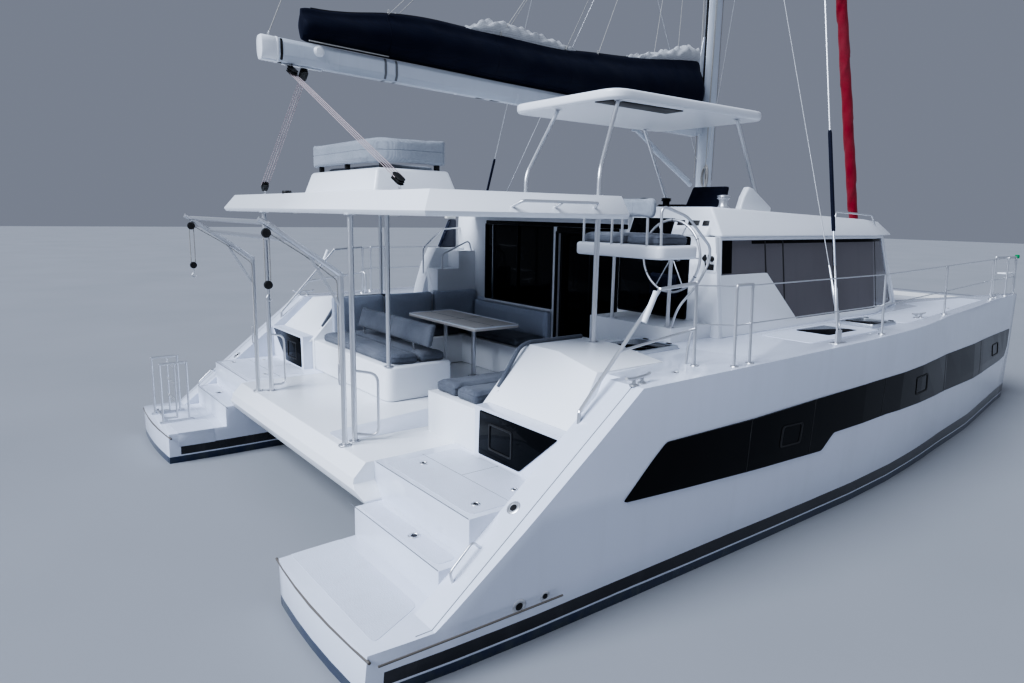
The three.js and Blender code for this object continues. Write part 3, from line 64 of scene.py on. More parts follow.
def length(name, description, default, low, high):
    return bpy.props.FloatProperty(name=name, description=description, default=default, min=low, max=high,
                                   unit="LENGTH")


def tint(name, description, default):
    return bpy.props.FloatVectorProperty(name=name, description=description, subtype="COLOR", size=3,
                                         default=default, min=0, max=1)


class CatamaranSizes(bpy.types.PropertyGroup):
    """Sizes that a user of the boat would change."""

    edge_round: length("Moulding edge", "Radius on the edges of the mouldings", 0.018, 0.004, 0.05)
    window_stand: length("Hull glass stand", "How far the hull windows stand off the topsides", 0.004, 0.001, 0.01)
    grip_stand: length("Grip panel", "Height of the moulded grip panels on deck", 0.003, 0.001, 0.01)
    cushion_voxel: length("Cushion cell", "Cell size of the cushions before they are filled", 0.014, 0.006, 0.03)
    cushion_swell: length("Cushion swell", "Most that a filled cushion's skin moves", 0.022, 0.0, 0.04)
    net_mesh: length("Net mesh", "Spacing of the trampoline's webbing", 0.045, 0.02, 0.1)


class CatamaranColours(bpy.types.PropertyGroup):
    """Colours that a user of the boat would change."""

    gelcoat: tint("Gelcoat", "Colour of the mouldings", (0.72, 0.76, 0.86))
    stripe: tint("Waterline stripe", "Broad stripe above the water", (0.012, 0.014, 0.022))
    bottom: tint("Bottom paint", "Antifouling colour", (0.018, 0.034, 0.09))
    bag: tint("Sail bag", "Canvas of the sail bag", (0.007, 0.011, 0.034))
    headsail: tint("Headsail strip", "Sun strip of the furled headsail", (0.42, 0.02, 0.045))
    cushion: tint("Cushions", "Seat fabric", (0.15, 0.165, 0.2))
    # settee backs: the same dark fabric as the seats, made far lighter here to stand in for light in the shade under
    # the roof, so painted light
    backrest: tint("Backrests", "Fabric of the settee backs", (0.58, 0.63, 0.74))
    table: tint("Table", "Table laminate", (0.47, 0.45, 0.42))


def sizes():
    return bpy.context.scene.catamaran_sizes


def colours():
    return bpy.context.scene.catamaran_colours


# Mesh tools

SAME = 1e-4


def deselect():
    """Back to object mode with nothing selected."""
    if bpy.context.object and bpy.context.object.mode != "OBJECT":
        bpy.ops.object.mode_set(mode="OBJECT")
    bpy.ops.object.select_all(action="DESELECT")


def take(*pieces):
    """Selects these pieces alone, the first one active."""
    deselect()
    for piece in pieces:
        piece.select_set(True)
    bpy.context.view_layer.objects.active = pieces[0]
    return pieces[0]


def edit(piece):
    """Edit mode with the whole mesh selected."""
    take(piece)
    bpy.ops.object.mode_set(mode="EDIT")
    bpy.ops.mesh.select_mode(type="VERT")
    bpy.ops.mesh.select_all(action="SELECT")
    return piece


def leave():
    bpy.ops.object.mode_set(mode="OBJECT")


def settle(piece):
    """Writes the piece's place, turn and scale into its mesh."""
    take(piece)
    bpy.ops.object.transform_apply(location=True, rotation=True, scale=True)
    return piece


def named(name):
    piece = bpy.context.object
    piece.name = piece.data.name = name
    return piece


def consistent():
    """In edit mode, turns every face outwards."""
    bpy.ops.mesh.select_all(action="SELECT")
    bpy.ops.mesh.normals_make_consistent(inside=False)


def merged(piece, reach):
    """Edit mode with the mesh's doubles merged."""
    edit(piece)
    bpy.ops.mesh.remove_doubles(threshold=reach)


def modify(piece, kind, **settings):
    """Adds one modifier and applies it."""
    take(piece)
    modifier = piece.modifiers.new(kind.title(), kind)
    for key, value in settings.items():
        setattr(modifier, key, value)
    bpy.ops.object.modifier_apply(modifier=modifier.name)
    return piece


def bevelled(piece, width, segments=2, angle=30):
    return modify(piece, "BEVEL", width=width, segments=segments, limit_method="ANGLE",
                  angle_limit=math.radians(angle), use_clamp_overlap=True)


def smooth(piece, angle=35):
    take(piece)
    bpy.ops.object.shade_smooth_by_angle(angle=math.radians(angle))
    return piece


def block(name, low, high, bevel=0.0, segments=2):
    """A box between two corners, with its edges rounded in edit mode."""
    deselect()
    middle = [(a + b) / 2 for a, b in zip(low, high)]
    bpy.ops.mesh.primitive_cube_add(size=1, location=middle, scale=[b - a for a, b in zip(low, high)])
    piece = settle(named(name))
    if bevel:
        edit(piece)
        bpy.ops.mesh.bevel(offset=bevel, segments=segments, affect="EDGES", clamp_overlap=True)
        leave()
    return smooth(piece)


def on_plane(plane, across, along, at):
    """The point at these two coordinates on a plane and this depth along its normal."""
    place = [0.0, 0.0, 0.0]
    for axis, value in zip(AXES[plane], (across, along, at)):
        place[axis] = value
    return place


def slab(name, plane, outline, low, high, bevel=0.0, segments=2):
    """An outline pushed along the plane's normal, with its edges rounded."""
    deselect()
    bpy.ops.mesh.primitive_circle_add(vertices=len(outline), radius=1, fill_type="NGON")
    piece = named(name)
    for vertex, point in zip(piece.data.vertices, outline):
        vertex.co = on_plane(plane, *point, low)
    edit(piece)
    bpy.ops.mesh.extrude_region_move(TRANSFORM_OT_translate={"value": on_plane(plane, 0.0, 0.0, high - low)})
    consistent()
    leave()
    if bevel:
        bevelled(piece, bevel, segments)
    return smooth(piece)


def arc(before, corner, after, radius, share, steps):
    """The points that turn one corner, from its first side to its second."""
    back, ahead = before - corner, after - corner
    reach = min(radius, back.length * share, ahead.length * share)
    start, end = corner + back.normalized() * reach, corner + ahead.normalized() * reach
    turns = [step / steps for step in range(steps + 1)]
    return [tuple(start * (1 - t) ** 2 + corner * 2 * t * (1 - t) + end * t ** 2) for t in turns]


def rounded(outline, radius, steps=4):
    """The outline with each corner turned into an arc."""
    points = [Vector(point) for point in outline]
    result = []
    for at, corner in enumerate(points):
        result += arc(points[at - 1], corner, points[(at + 1) % len(points)], radius, 0.45, steps)
    return result


def bent(points, radius, steps=5, closed=False):
    """A line through the points with each bend turned into an arc."""
    line = [Vector(point) for point in points]
    if closed:
        return rounded(line, radius, steps)
    result = [tuple(line[0])]
    for before, corner, after in zip(line, line[1:], line[2:]):
        result += arc(before, corner, after, radius, 0.48, steps)
    return result + [tuple(line[-1])]


def rectangle(low, high):
    return [(low[0], low[1]), (high[0], low[1]), (high[0], high[1]), (low[0], high[1])]


def tubes(name, runs, radius, bend=0.0, closed=False, sides=2, steps=5):
    """Round tubes along lines, all in one piece."""
    deselect()
    bpy.ops.curve.primitive_nurbs_path_add(radius=1)
    curve = named(name).data
    curve.splines.clear()
    curve.dimensions = "3D"
    for run in runs:
        line = bent(run, bend, steps, closed) if bend else [tuple(point) for point in run]
        spline = curve.splines.new("POLY")
        spline.points.add(len(line) - 1)
        for point, place in zip(spline.points, line):
            point.co = (*place, 1.0)
        spline.use_cyclic_u = closed
    curve.bevel_depth = radius
    curve.bevel_resolution = sides
    curve.use_fill_caps = True
    bpy.ops.object.convert(target="MESH")
    return smooth(settle(named(name)), 60)


def turned(name, profile, foot, axis=UP, steps=24):
    """A profile of radius and height rows, from the axis back to the axis, spun round it."""
    axis = Vector(axis).normalized()
    side = axis.orthogonal().normalized()
    deselect()
    bpy.ops.mesh.primitive_circle_add(vertices=len(profile), radius=1, fill_type="NOTHING")
    piece = named(name)
    for vertex, (radius, height) in zip(piece.data.vertices, profile):
        vertex.co = Vector(foot) + side * radius + axis * height
    edit(piece)
    bpy.ops.mesh.spin(steps=steps, angle=math.tau, center=foot, axis=axis)
    leave()
    outward(piece)
    edit(piece)
    bpy.ops.mesh.dissolve_degenerate(threshold=1e-5)
    leave()
    return smooth(piece)


def outward(piece, merge=1e-5):
    """Merges doubles and turns every face outwards."""
    merged(piece, merge)
    bpy.ops.mesh.normals_make_consistent(inside=False)
    leave()
    return piece


def copy_of(piece, name, matrix=None):
    """Another piece of the same shape with its own mesh."""
    twin = piece.copy()
    twin.data = piece.data.copy()
    bpy.context.scene.collection.objects.link(twin)
    twin.name = twin.data.name = name
    twin.parent = None
    for key in [key for key in twin.keys() if key.startswith("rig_")]:
        del twin[key]
    twin.hide_render = twin.hide_viewport = False
    if matrix is not None:
        twin.data.transform(matrix)
    return twin


def across(piece, name):
    """The piece's mirror image on the other side of the boat."""
    return outward(copy_of(piece, name, Matrix.Diagonal((1, -1, 1, 1))), 1e-6)


def joined(name, *pieces):
    """Several meshes as one piece."""
    take(*pieces)
    if len(pieces) > 1:
        bpy.ops.object.join()
    return named(name)


def carve(piece, tool, operation="DIFFERENCE"):
    modify(piece, "BOOLEAN", object=tool, operation=operation, solver="EXACT", use_self=True)
    bpy.data.objects.remove(tool)
    return piece


def moulding(name, node, width=None, segments=3, angle=28):
    """A CAD node's shape with its doubles merged, its flats cleaned and its edges rounded."""
    piece = copy_of(frame["nodes"][node], name)
    merged(piece, SAME)
    bpy.ops.mesh.dissolve_limited(angle_limit=math.radians(1.0))
    leave()
    if width is None:
        width = sizes().edge_round
    if width:
        bevelled(piece, width, segments, angle)
    return smooth(piece, 38)


def inlay(name, node, plane, outline, low, high, stand, turn=25):
    """A panel that follows the node's surface, standing off it by a little."""
    base = copy_of(frame["nodes"][node], name)
    merged(base, SAME)
    leave()
    modify(base, "DISPLACE", strength=stand, mid_level=0.0, direction="NORMAL")
    carve(base, slab(f"{name}_tool", plane, outline, low, high), "INTERSECT")
    return smooth(base, turn)


def put(piece, look, body="boat", *nodes, slot=None):
    """Gives the piece its material, its body and the nodes that it stands for."""
    piece.data.materials.clear()
    piece.data.materials.append(material(look))
    if body:
        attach(piece, body)
    if nodes:
        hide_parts(*nodes)
    return piece


def twins(piece, look, slot=None):
    """Puts a starboard piece and its mirror image to port."""
    put(across(piece, piece.name.removesuffix("_starboard") + "_port"), look, slot=slot)
    return put(piece, look, slot=slot)


# Finishes


def feed(tree, node, values):
    """Links each socket, and sets each plain value, among a node's inputs; a colour gets its alpha."""
    for key, value in values.items():
        target = node.inputs[key]
        if isinstance(value, bpy.types.NodeSocket):
            tree.links.new(value, target)
        elif target.type == "RGBA":
            target.default_value = (*tuple(value)[:3], 1.0)
        else:
            target.default_value = value
    return node


def wire(tree, kind, inputs, **settings):
    """A node with its settings and inputs."""
    node = tree.nodes.new(kind)
    for key, value in settings.items():
        setattr(node, key, value)
    return feed(tree, node, inputs)


def own_point(tree):
    """The point in the piece's own space."""
    return wire(tree, "ShaderNodeTexCoord", {}).outputs["Object"]


def calculated(tree, operation, first, second=0.0, clamp=False):
    return wire(tree, "ShaderNodeMath", {0: first, 1: second}, operation=operation, use_clamp=clamp).outputs[0]


def times(tree, first, second, clamp=False):
    return calculated(tree, "MULTIPLY", first, second, clamp)


def plus(tree, first, second, clamp=False):
    return calculated(tree, "ADD", first, second, clamp)


def below(tree, value, limit):
    return calculated(tree, "LESS_THAN", value, limit)


def mixed(tree, factor, first, second):
    return wire(tree, "ShaderNodeMix", {0: factor, 6: first, 7: second}, data_type="RGBA").outputs[2]


def ramp(tree, factor, low, high):
    """0 below low and 1 above high."""
    return wire(tree, "ShaderNodeMapRange", {"Value": factor, "From Min": low, "From Max": high}).outputs[0]


def stretched(tree, point, scale):
    return wire(tree, "ShaderNodeMapping", {"Vector": point, "Scale": scale}).outputs[0]


def noise(tree, point, scale, detail=3.0, rough=0.5):
    return wire(tree, "ShaderNodeTexNoise", {
        "Vector": point, "Scale": scale, "Detail": detail, "Roughness": rough}).outputs["Fac"]


def split(tree, point):
    return wire(tree, "ShaderNodeSeparateXYZ", {"Vector": point}).outputs


def node_group(name, inputs, outputs):
    """An empty shader node group: the group, its inputs, its output node and a point."""
    group = bpy.data.node_groups.new(name, "ShaderNodeTree")
    for label, value in inputs.items():
        kind = "Color" if isinstance(value, tuple) else "Float"
        made = group.interface.new_socket(name=label, in_out="INPUT", socket_type=f"NodeSocket{kind}")
        made.default_value = (*value, 1.0) if isinstance(value, tuple) else value
    for label in outputs:
        kind = "Color" if label == "Colour" else "Float"
        group.interface.new_socket(name=label, in_out="OUTPUT", socket_type=f"NodeSocket{kind}")
    taken = group.nodes.new("NodeGroupInput").outputs
    return group, taken, group.nodes.new("NodeGroupOutput"), own_point(group)


def weathered_group():
    """Grime in patches and in runs down the sides, with a fine unevenness of the surface."""
    group, taken, given, point = node_group("weathered", {
        "Colour": (0.8, 0.8, 0.8), "Grime": (0.35, 0.33, 0.3), "Amount": 0.2, "Shine": 0.2},
        ("Colour", "Roughness", "Height"))
    patches = ramp(group, noise(group, point, 1.2, 4.0), 0.42, 0.72)
    runs = ramp(group, noise(group, stretched(group, point, (7, 7, 0.5)), 1.0, 4.0), 0.5, 0.8)
    speck = ramp(group, noise(group, point, 26.0, 5.0, 0.7), 0.6, 0.8)
    dirt = plus(group, times(group, plus(group, patches, runs), 0.5), times(group, speck, 0.25))
    dirt = times(group, dirt, taken["Amount"], True)
    feed(group, given, {
        "Colour": mixed(group, dirt, taken["Colour"], taken["Grime"]),
        "Roughness": plus(group, taken["Shine"], times(group, dirt, 0.6), True),
        "Height": noise(group, point, 3.5, 2.0)})
    return group


def woven_group():
    """Threads over and under each other in the two directions of a cloth, on any face."""
    group, taken, given, point = node_group("woven", {
        "Colour": (0.3, 0.3, 0.3), "Thread": (0.2, 0.2, 0.2), "Count": 160.0, "Fade": 0.15}, ("Colour", "Height"))
    axes = split(group, point)
    waves = [calculated(group, "SINE", times(group, times(group, axes[axis], taken["Count"]), math.tau))
             for axis in range(3)]
    pairs = [times(group, waves[a], waves[b]) for a, b in ((0, 1), (1, 2), (0, 2))]
    weave = ramp(group, plus(group, plus(group, pairs[0], pairs[1]), pairs[2]), -1.0, 1.0)
    slub = noise(group, point, 40.0, 4.0, 0.7)
    faded = ramp(group, noise(group, point, 2.2, 3.0), 0.35, 0.75)
    tone = plus(group, times(group, weave, 0.7), times(group, slub, 0.5))
    colour = mixed(group, ramp(group, tone, 0.2, 1.0), taken["Thread"], taken["Colour"])
    sunned = mixed(group, times(group, faded, taken["Fade"]), colour, (0.75, 0.77, 0.8))
    feed(group, given, {"Colour": sunned, "Height": weave})
    return group


def brushed_group():
    """Fine drawn lines and finger marks on metal."""
    group, taken, given, point = node_group("brushed", {"Shine": 0.15, "Marks": 0.15}, ("Roughness", "Height"))
    lines = noise(group, stretched(group, point, (3, 3, 160)), 1.0, 2.0)
    marks = ramp(group, noise(group, point, 6.0, 4.0, 0.6), 0.45, 0.75)
    rough = plus(group, taken["Shine"], times(group, marks, taken["Marks"]))
    feed(group, given, {"Roughness": plus(group, rough, times(group, lines, 0.05), True), "Height": lines})
    return group


def grip_group():
    """The small pimples of moulded non-slip."""
    group, taken, given, point = node_group("grip", {"Count": 90.0}, ("Height",))
    cells = wire(group, "ShaderNodeTexVoronoi", {"Vector": point, "Randomness": 0.6, "Scale": taken["Count"]})
    feed(group, given, {"Height": ramp(group, cells.outputs["Distance"], 0.55, 0.15)})
    return group


GROUPS = {"weathered": weathered_group, "woven": woven_group, "brushed": brushed_group, "grip": grip_group}


def use(tree, name, **inputs):
    """Places a shared group in a material."""
    node = tree.nodes.new("ShaderNodeGroup")
    node.node_tree = bpy.data.node_groups.get(name) or GROUPS[name]()
    return feed(tree, node, inputs).outputs


def paint(colour, share=1.0):
    """A colour, or the user's colour of that name, made darker by a share."""
    if isinstance(colour, str):
        colour = getattr(colours(), colour)
    return tuple(value * share for value in colour)


def finish(tree, shader, colour, rough, bump=None, **more):
    """Gives the shader its colour, roughness, bump (height, strength, distance) and other inputs."""
    feed(tree, shader, {"Base Color": colour, "Roughness": rough})
    feed(tree, shader, {key.replace("_", " "): value for key, value in more.items()})
    if bump:
        made = wire(tree, "ShaderNodeBump", dict(zip(("Height", "Strength", "Distance"), bump)))
        tree.links.new(made.outputs[0], shader.inputs["Normal"])


def moulded(tree, shader, colour, grime=(0.42, 0.42, 0.4), amount=0.16, shine=0.16, coat=0.35):
    """Glossy moulding, with faint grime and a skin that isn't quite even."""
    colour = colour if isinstance(colour, bpy.types.NodeSocket) else paint(colour)
    out = use(tree, "weathered", Colour=colour, Grime=grime, Amount=amount, Shine=shine)
    finish(tree, shader, out["Colour"], out["Roughness"], (out["Height"], 0.08, 0.02), Coat_Weight=coat,
           Coat_Roughness=0.08)


def worn_bottom(tree, point):
    """Bottom paint with growth in patches."""
    growth = ramp(tree, noise(tree, point, 7.0, 6.0, 0.7), 0.4, 0.7)
    return mixed(tree, growth, paint("bottom"), (0.05, 0.07, 0.085))


# Heights over the water of the painted bands' edges
STRIPE_TOP_Z, STRIPE_FOOT_Z, BOTTOM_TOP_Z = 0.205, 0.1, 0.082


def painted_hull(tree, shader):
    """Gelcoat topsides over a broad dark stripe, a thin light line and the bottom paint."""
    point = own_point(tree)
    axes = split(tree, point)
    level = plus(tree, axes["Z"], times(tree, noise(tree, point, 5.0, 2.0), 0.003))
    ahead_of_stern = calculated(tree, "GREATER_THAN", axes["X"], -6.17)
    top = plus(tree, times(tree, ramp(tree, axes["X"], -6.2, 6.4), 0.05), STRIPE_TOP_Z)
    in_stripe = times(tree, below(tree, level, top), ahead_of_stern)
    colour = mixed(tree, in_stripe, paint("gelcoat"), paint("stripe"))
    in_line = times(tree, below(tree, level, STRIPE_FOOT_Z), ahead_of_stern)
    colour = mixed(tree, in_line, colour, paint("gelcoat"))
    colour = mixed(tree, below(tree, level, BOTTOM_TOP_Z), colour, worn_bottom(tree, point))
    moulded(tree, shader, colour, amount=0.12, shine=0.12)


def painted_bottom(tree, shader):
    moulded(tree, shader, worn_bottom(tree, own_point(tree)), amount=0.3, shine=0.55, coat=0.0)


def non_slip(tree, shader):
    out = use(tree, "weathered", Colour=paint("gelcoat", 0.93), Grime=(0.4, 0.39, 0.36), Amount=0.22, Shine=0.45)
    finish(tree, shader, out["Colour"], out["Roughness"], (use(tree, "grip", Count=70.0)["Height"], 0.4, 0.002))


def pane(tree, shader, colour, shine=0.05):
    """A tinted pane or lens, with dust that dries in patches."""
    out = use(tree, "weathered", Colour=colour, Grime=(0.045, 0.045, 0.045), Amount=0.14, Shine=shine)
    finish(tree, shader, out["Colour"], out["Roughness"], Specular_IOR_Level=0.13)


def metal(tree, shader, colour, shine):
    """Brushed metal with a trace of tea staining."""
    out = use(tree, "brushed", Shine=shine, Marks=0.12)
    tea = ramp(tree, noise(tree, own_point(tree), 9.0, 5.0, 0.7), 0.62, 0.85)
    stained = mixed(tree, times(tree, tea, 0.3), colour, (0.36, 0.27, 0.2))
    finish(tree, shader, stained, out["Roughness"], (out["Height"], 0.05, 0.001), Metallic=1.0)


def anodised(tree, shader):
    out = use(tree, "weathered", Colour=(0.50, 0.53, 0.58), Grime=(0.3, 0.3, 0.3), Amount=0.25, Shine=0.32)
    height = use(tree, "brushed", Shine=0.3, Marks=0.1)["Height"]
    finish(tree, shader, out["Colour"], out["Roughness"], (height, 0.05, 0.001), Metallic=0.35)


def cloth(tree, shader, colour, count=110.0, fade=0.12, strength=0.25, sheen=0.12):
    """Woven cloth, sunned and worn in patches."""
    out = use(tree, "woven", Colour=paint(colour), Thread=paint(colour, 0.55), Count=count, Fade=fade)
    worn = ramp(tree, noise(tree, own_point(tree), 5.0, 3.0), 0.2, 0.9)
    finish(tree, shader, out["Colour"], plus(tree, times(tree, worn, 0.15), 0.72), (out["Height"], strength, 0.001),
           Sheen_Weight=sheen, Sheen_Roughness=0.5, Specular_IOR_Level=0.25)


def braid(tree, shader, colour, fleck):
    """Braid that runs round the rope, with flecks of the tracer yarn."""
    turns = wire(tree, "ShaderNodeTexWave", {
        "Vector": own_point(tree), "Scale": 42.0, "Distortion": 3.0, "Detail": 2.0},
        bands_direction="DIAGONAL").outputs["Fac"]
    out = use(tree, "woven", Colour=colour, Thread=paint(colour, 0.6), Count=180.0, Fade=0.1)
    flecked = mixed(tree, ramp(tree, turns, 0.75, 0.9), out["Colour"], fleck)
    finish(tree, shader, flecked, plus(tree, times(tree, turns, 0.1), 0.75), (turns, 0.4, 0.002))


def matt(tree, shader, colour, shine):
    """Rubber and plastic trim."""
    out = use(tree, "weathered", Colour=colour, Grime=(0.09, 0.09, 0.085), Amount=0.4, Shine=shine)
    finish(tree, shader, out["Colour"], out["Roughness"], (out["Height"], 0.1, 0.004))


def laminate(tree, shader):
    out = use(tree, "weathered", Colour=paint("table"), Grime=(0.25, 0.24, 0.22), Amount=0.2, Shine=0.3)
    fleck = times(tree, ramp(tree, noise(tree, own_point(tree), 180.0, 2.0), 0.45, 0.6), 0.15)
    finish(tree, shader, mixed(tree, fleck, out["Colour"], (0.25, 0.23, 0.2)), out["Roughness"],
           (out["Height"], 0.05, 0.002))


def webbing(tree, shader):
    """Knotted webbing with open squares between its cords."""
    axes = split(tree, own_point(tree))
    gaps = []
    for axis in ("X", "Y"):
        place = calculated(tree, "FRACT", calculated(tree, "DIVIDE", axes[axis], sizes().net_mesh))
        from_middle = calculated(tree, "ABSOLUTE", calculated(tree, "SUBTRACT", place, 0.5))
        gaps.append(below(tree, from_middle, 0.39))
    shut = calculated(tree, "SUBTRACT", 1.0, times(tree, gaps[0], gaps[1]))
    out = use(tree, "woven", Colour=(0.62, 0.62, 0.6), Thread=(0.35, 0.35, 0.33), Count=220.0)
    finish(tree, shader, out["Colour"], 0.85, (out["Height"], 0.2, 0.001), Alpha=shut)


def pale_floor(tree, shader):
    tone = ramp(tree, noise(tree, own_point(tree), 0.3, 2.0), 0.2, 0.8)
    finish(tree, shader, mixed(tree, tone, (0.31, 0.32, 0.34), (0.34, 0.35, 0.37)), 0.75)


# The function that writes each look, and its values
LOOKS = {
    "gelcoat": (moulded, "gelcoat"),
    "hull": (painted_hull,),
    "bottom": (painted_bottom,),
    "grip": (non_slip,),
    "panel": (moulded, (0.012, 0.018, 0.045), (0.42, 0.42, 0.4), 0.08, 0.12),
    "spar_white": (moulded, (0.60, 0.64, 0.70), (0.3, 0.31, 0.32), 0.22, 0.22, 0.2),
    "glass": (pane, (0.004, 0.005, 0.007)),
    # side glass: a grey tint, lightened to stand in for the sky that it reflects, so partly painted reflection
    "tinted": (pane, (0.2, 0.19, 0.2)),
    "lamp": (pane, (0.75, 0.75, 0.72), 0.12),
    "red_lens": (pane, (0.45, 0.02, 0.02), 0.12),
    "green_lens": (pane, (0.02, 0.3, 0.12), 0.12),
    "steel": (metal, (0.5, 0.51, 0.54), 0.16),
    "bronze": (metal, (0.50, 0.33, 0.14), 0.35),
    "black_metal": (metal, (0.035, 0.036, 0.04), 0.3),
    "spar": (anodised,),
    "cushion": (cloth, "cushion"),
    # settee backs: the seats' fabric, lightened as painted light for the shade that they sit in
    "backrest": (cloth, "backrest"),
    "pale_cushion": (cloth, (0.42, 0.45, 0.5), 110.0, 0.1),
    "bag": (cloth, "bag", 70.0, 0.012, 0.3, 0.02),
    "sail": (cloth, (0.62, 0.63, 0.65), 60.0, 0.1, 0.1),
    "headsail": (cloth, "headsail", 60.0, 0.05, 0.2),
    "rope": (braid, (0.62, 0.6, 0.55), (0.34, 0.33, 0.34)),
    "red_rope": (braid, (0.66, 0.6, 0.6), (0.4, 0.24, 0.27)),
    "rubber": (matt, (0.016, 0.016, 0.018), 0.45),
    "grey_trim": (matt, (0.17, 0.155, 0.14), 0.5),
    "pad": (matt, (0.2, 0.21, 0.225), 0.55),
    "table": (laminate,),
    "net": (webbing,),
    "floor": (pale_floor,),
}


def material(look):
    """The material of that look, made once."""
    made = bpy.data.materials.get(look)
    if made is None:
        made = bpy.data.materials.new(look)
        made.use_nodes = True
        write, *values = LOOKS[look]
        write(made.node_tree, made.node_tree.nodes["Principled BSDF"], *values)
    return made


def lerp(first, second, share):
    return tuple(a + (b - a) * share for a, b in zip(first, second))


def slot_of(node):
    return next(row["material_slot"] for row in frame["record"]["subparts"] if row["node"] == node)


def coat_node(node, look):
    """A CAD node whose shape stays gets its finish in its material slots."""
    piece = frame["nodes"][node]
    piece.data.materials.clear()
    piece.data.materials.append(material(look))


# Boat


def mould(name, node, look, *edge, body="boat"):
    """Puts a node's own shape, with its edges rounded, in the node's place."""
    return put(moulding(name, node, *edge), look, body, node)


# x and z of the long hull window's outline
HULL_BAND = [
    (-4.21, 0.885), (-3.9, 1.17), (-3.76, 1.285), (-2.6, 1.285), (-1.6, 1.312), (-0.5, 1.335), (1.4, 1.33),
    (4.1, 1.29), (5.6, 1.255), (6.12, 1.245), (6.1, 0.95), (5.95, 0.79), (5.5, 0.765), (3.58, 0.785),
    (1.8, 0.84), (0.0, 0.905), (-1.18, 0.905), (-1.38, 0.75), (-2.57, 0.795), (-3.47, 0.84)]
# x and z of the corners of each opening port in it
PORTS = [
    [(-2.17, 0.93), (-1.81, 0.915), (-1.79, 1.125), (-2.15, 1.14)],
    [(0.82, 0.99), (1.24, 0.985), (1.22, 1.205), (0.8, 1.21)],
    [(4.82, 0.93), (5.28, 0.925), (5.24, 1.12), (4.8, 1.12)]]
# x of each joint between two of its panes
PANE_JOINTS = [-2.66, -1.62, -0.15, 2.05, 3.9]
# the y range that its tools reach through
HULL_OUT = (-3.8, -2.2)
# piece, node, look, body (None: the boat) and the edge's width, segments and angle, on each side
HULL_PARTS = [
    ("topsides", "hull", "hull", None, (0.02, 3, 30)),
    ("keel_fin", "keel", "bottom", None, (0.012, 2, 40)),
    ("drive_leg", "saildrive", "bronze", None, (0.008, 2, 50)),
    ("screw", "propeller", "bronze", "propeller", (0.0,)),
    ("rudder_blade", "rudder", "bottom", "rudder", (0.008, 2, 50))]


class CATAMARAN_OT_hulls(bpy.types.Operator):
    """Both hulls with rounded edges, their painted bands and the gear below the water"""
    bl_idname = "catamaran.hulls"
    bl_label = "Hulls"

    def execute(self, context):
        for side in ("port", "starboard"):
            for name, node, look, body, edge in HULL_PARTS:
                mould(f"{name}_{side}", f"{node}_{side}", look, *edge, body=f"{body}_{side}_body" if body else "boat")
        return {"FINISHED"}


class CATAMARAN_OT_hull_windows(bpy.types.Operator):
    """The long dark windows in the topsides with their pane joints and opening ports"""
    bl_idname = "catamaran.hull_windows"
    bl_label = "Hull windows"

    def execute(self, context):
        stand = sizes().window_stand
        low, high = HULL_OUT

        def reach(name, outline):
            return slab(name, "xz", outline, low - 0.1, high + 0.1)

        def panel(name, outline, rise=0.0, turn=25):
            return inlay(name, "hull_starboard", "xz", outline, low, high, stand + rise, turn)

        twins(panel("hull_window", rounded(HULL_BAND, 0.03, 2), turn=0.5), "glass")
        strips = [panel(f"pane_joint_{at}", [(x - 0.006, 0.7), (x + 0.006, 0.7), (x + 0.026, 1.4), (x + 0.014, 1.4)],
                        0.0012) for at, x in enumerate(PANE_JOINTS)]
        seams = carve(joined("pane_joints", *strips), reach("joint_reach", HULL_BAND), "INTERSECT")
        twins(seams, "rubber", "dark_glass")
        for at, corners in enumerate(PORTS):
            rim = panel(f"port_frame_{at}", rounded(corners, 0.04, 3), 0.006)
            middle = [sum(values) / 4 for values in zip(*corners)]
            inner = [lerp(corner, middle, 0.16) for corner in corners]
            twins(carve(rim, reach("port_hole", rounded(inner, 0.03, 3))), "rubber", "dark_glass")
        return {"FINISHED"}


# name, plane outline and depth range of each grip panel on the starboard hull, mirrored to port
GRIPS = [
    ("platform_grip", [(-6.2, -3.3), (-5.76, -3.08), (-5.76, -1.84), (-6.2, -1.84)], (0.2, 0.6)),
    ("step_grip", [(-5.61, -3.08), (-5.44, -3.08), (-5.44, -1.84), (-5.61, -1.84)], (0.5, 0.8)),
    ("stern_grip", [(-5.34, -3.1), (-4.62, -3.1), (-4.62, -1.84), (-5.34, -1.84)], (0.8, 1.1)),
    ("side_deck_grip", [(-1.3, -3.26), (0.12, -3.26), (0.12, -2.66), (-1.3, -2.66)], (1.6, 2.0)),
    ("side_deck_grip_fore", [(0.92, -3.2), (2.4, -3.02), (3.6, -2.84), (4.6, -2.72), (4.6, -2.42), (3.0, -2.22),
                             (2.9, -2.5), (0.92, -2.66)], (1.6, 2.0))]
# the same with its node for each grip panel between the hulls
DECK_GRIPS = [
    ("sole_grip", "bridgedeck", [(-5.4, -1.1), (-2.0, -1.1), (-2.0, -0.1), (-3.66, 0.0), (-3.9, -0.5), (-5.4, -0.75)],
     (0.8, 1.1)),
    ("pit_grip", "foredeck", [(3.2, -0.74), (3.64, -0.74), (3.64, 0.74), (3.2, 0.74)], (1.1, 1.4)),
    ("fore_grip", "foredeck", [(4.0, -1.3), (4.2, -1.3), (4.2, 1.3), (4.0, 1.3)], (1.7, 1.95))]


class CATAMARAN_OT_decks(bpy.types.Operator):
    """Deck and cockpit mouldings and the grip panels on what people walk on"""
    bl_idname = "catamaran.decks"
    bl_label = "Decks"

    def execute(self, context):
        for node, width in (("bridgedeck", 0.016), ("foredeck", 0.016), ("coaming_port", 0.03),
                            ("coaming_starboard", 0.03), ("bench_base", 0.03), ("settee_base", 0.016)):
            mould(f"{node}_moulding", node, "gelcoat", width)

        def panel(name, node, outline, reach):
            return inlay(name, node, "xy", rounded(outline, 0.06, 3), *reach, sizes().grip_stand)

        for name, outline, reach in GRIPS:
            twins(panel(name, "hull_starboard", outline, reach), "grip")
        for row in DECK_GRIPS:
            put(panel(*row), "grip")
        return {"FINISHED"}


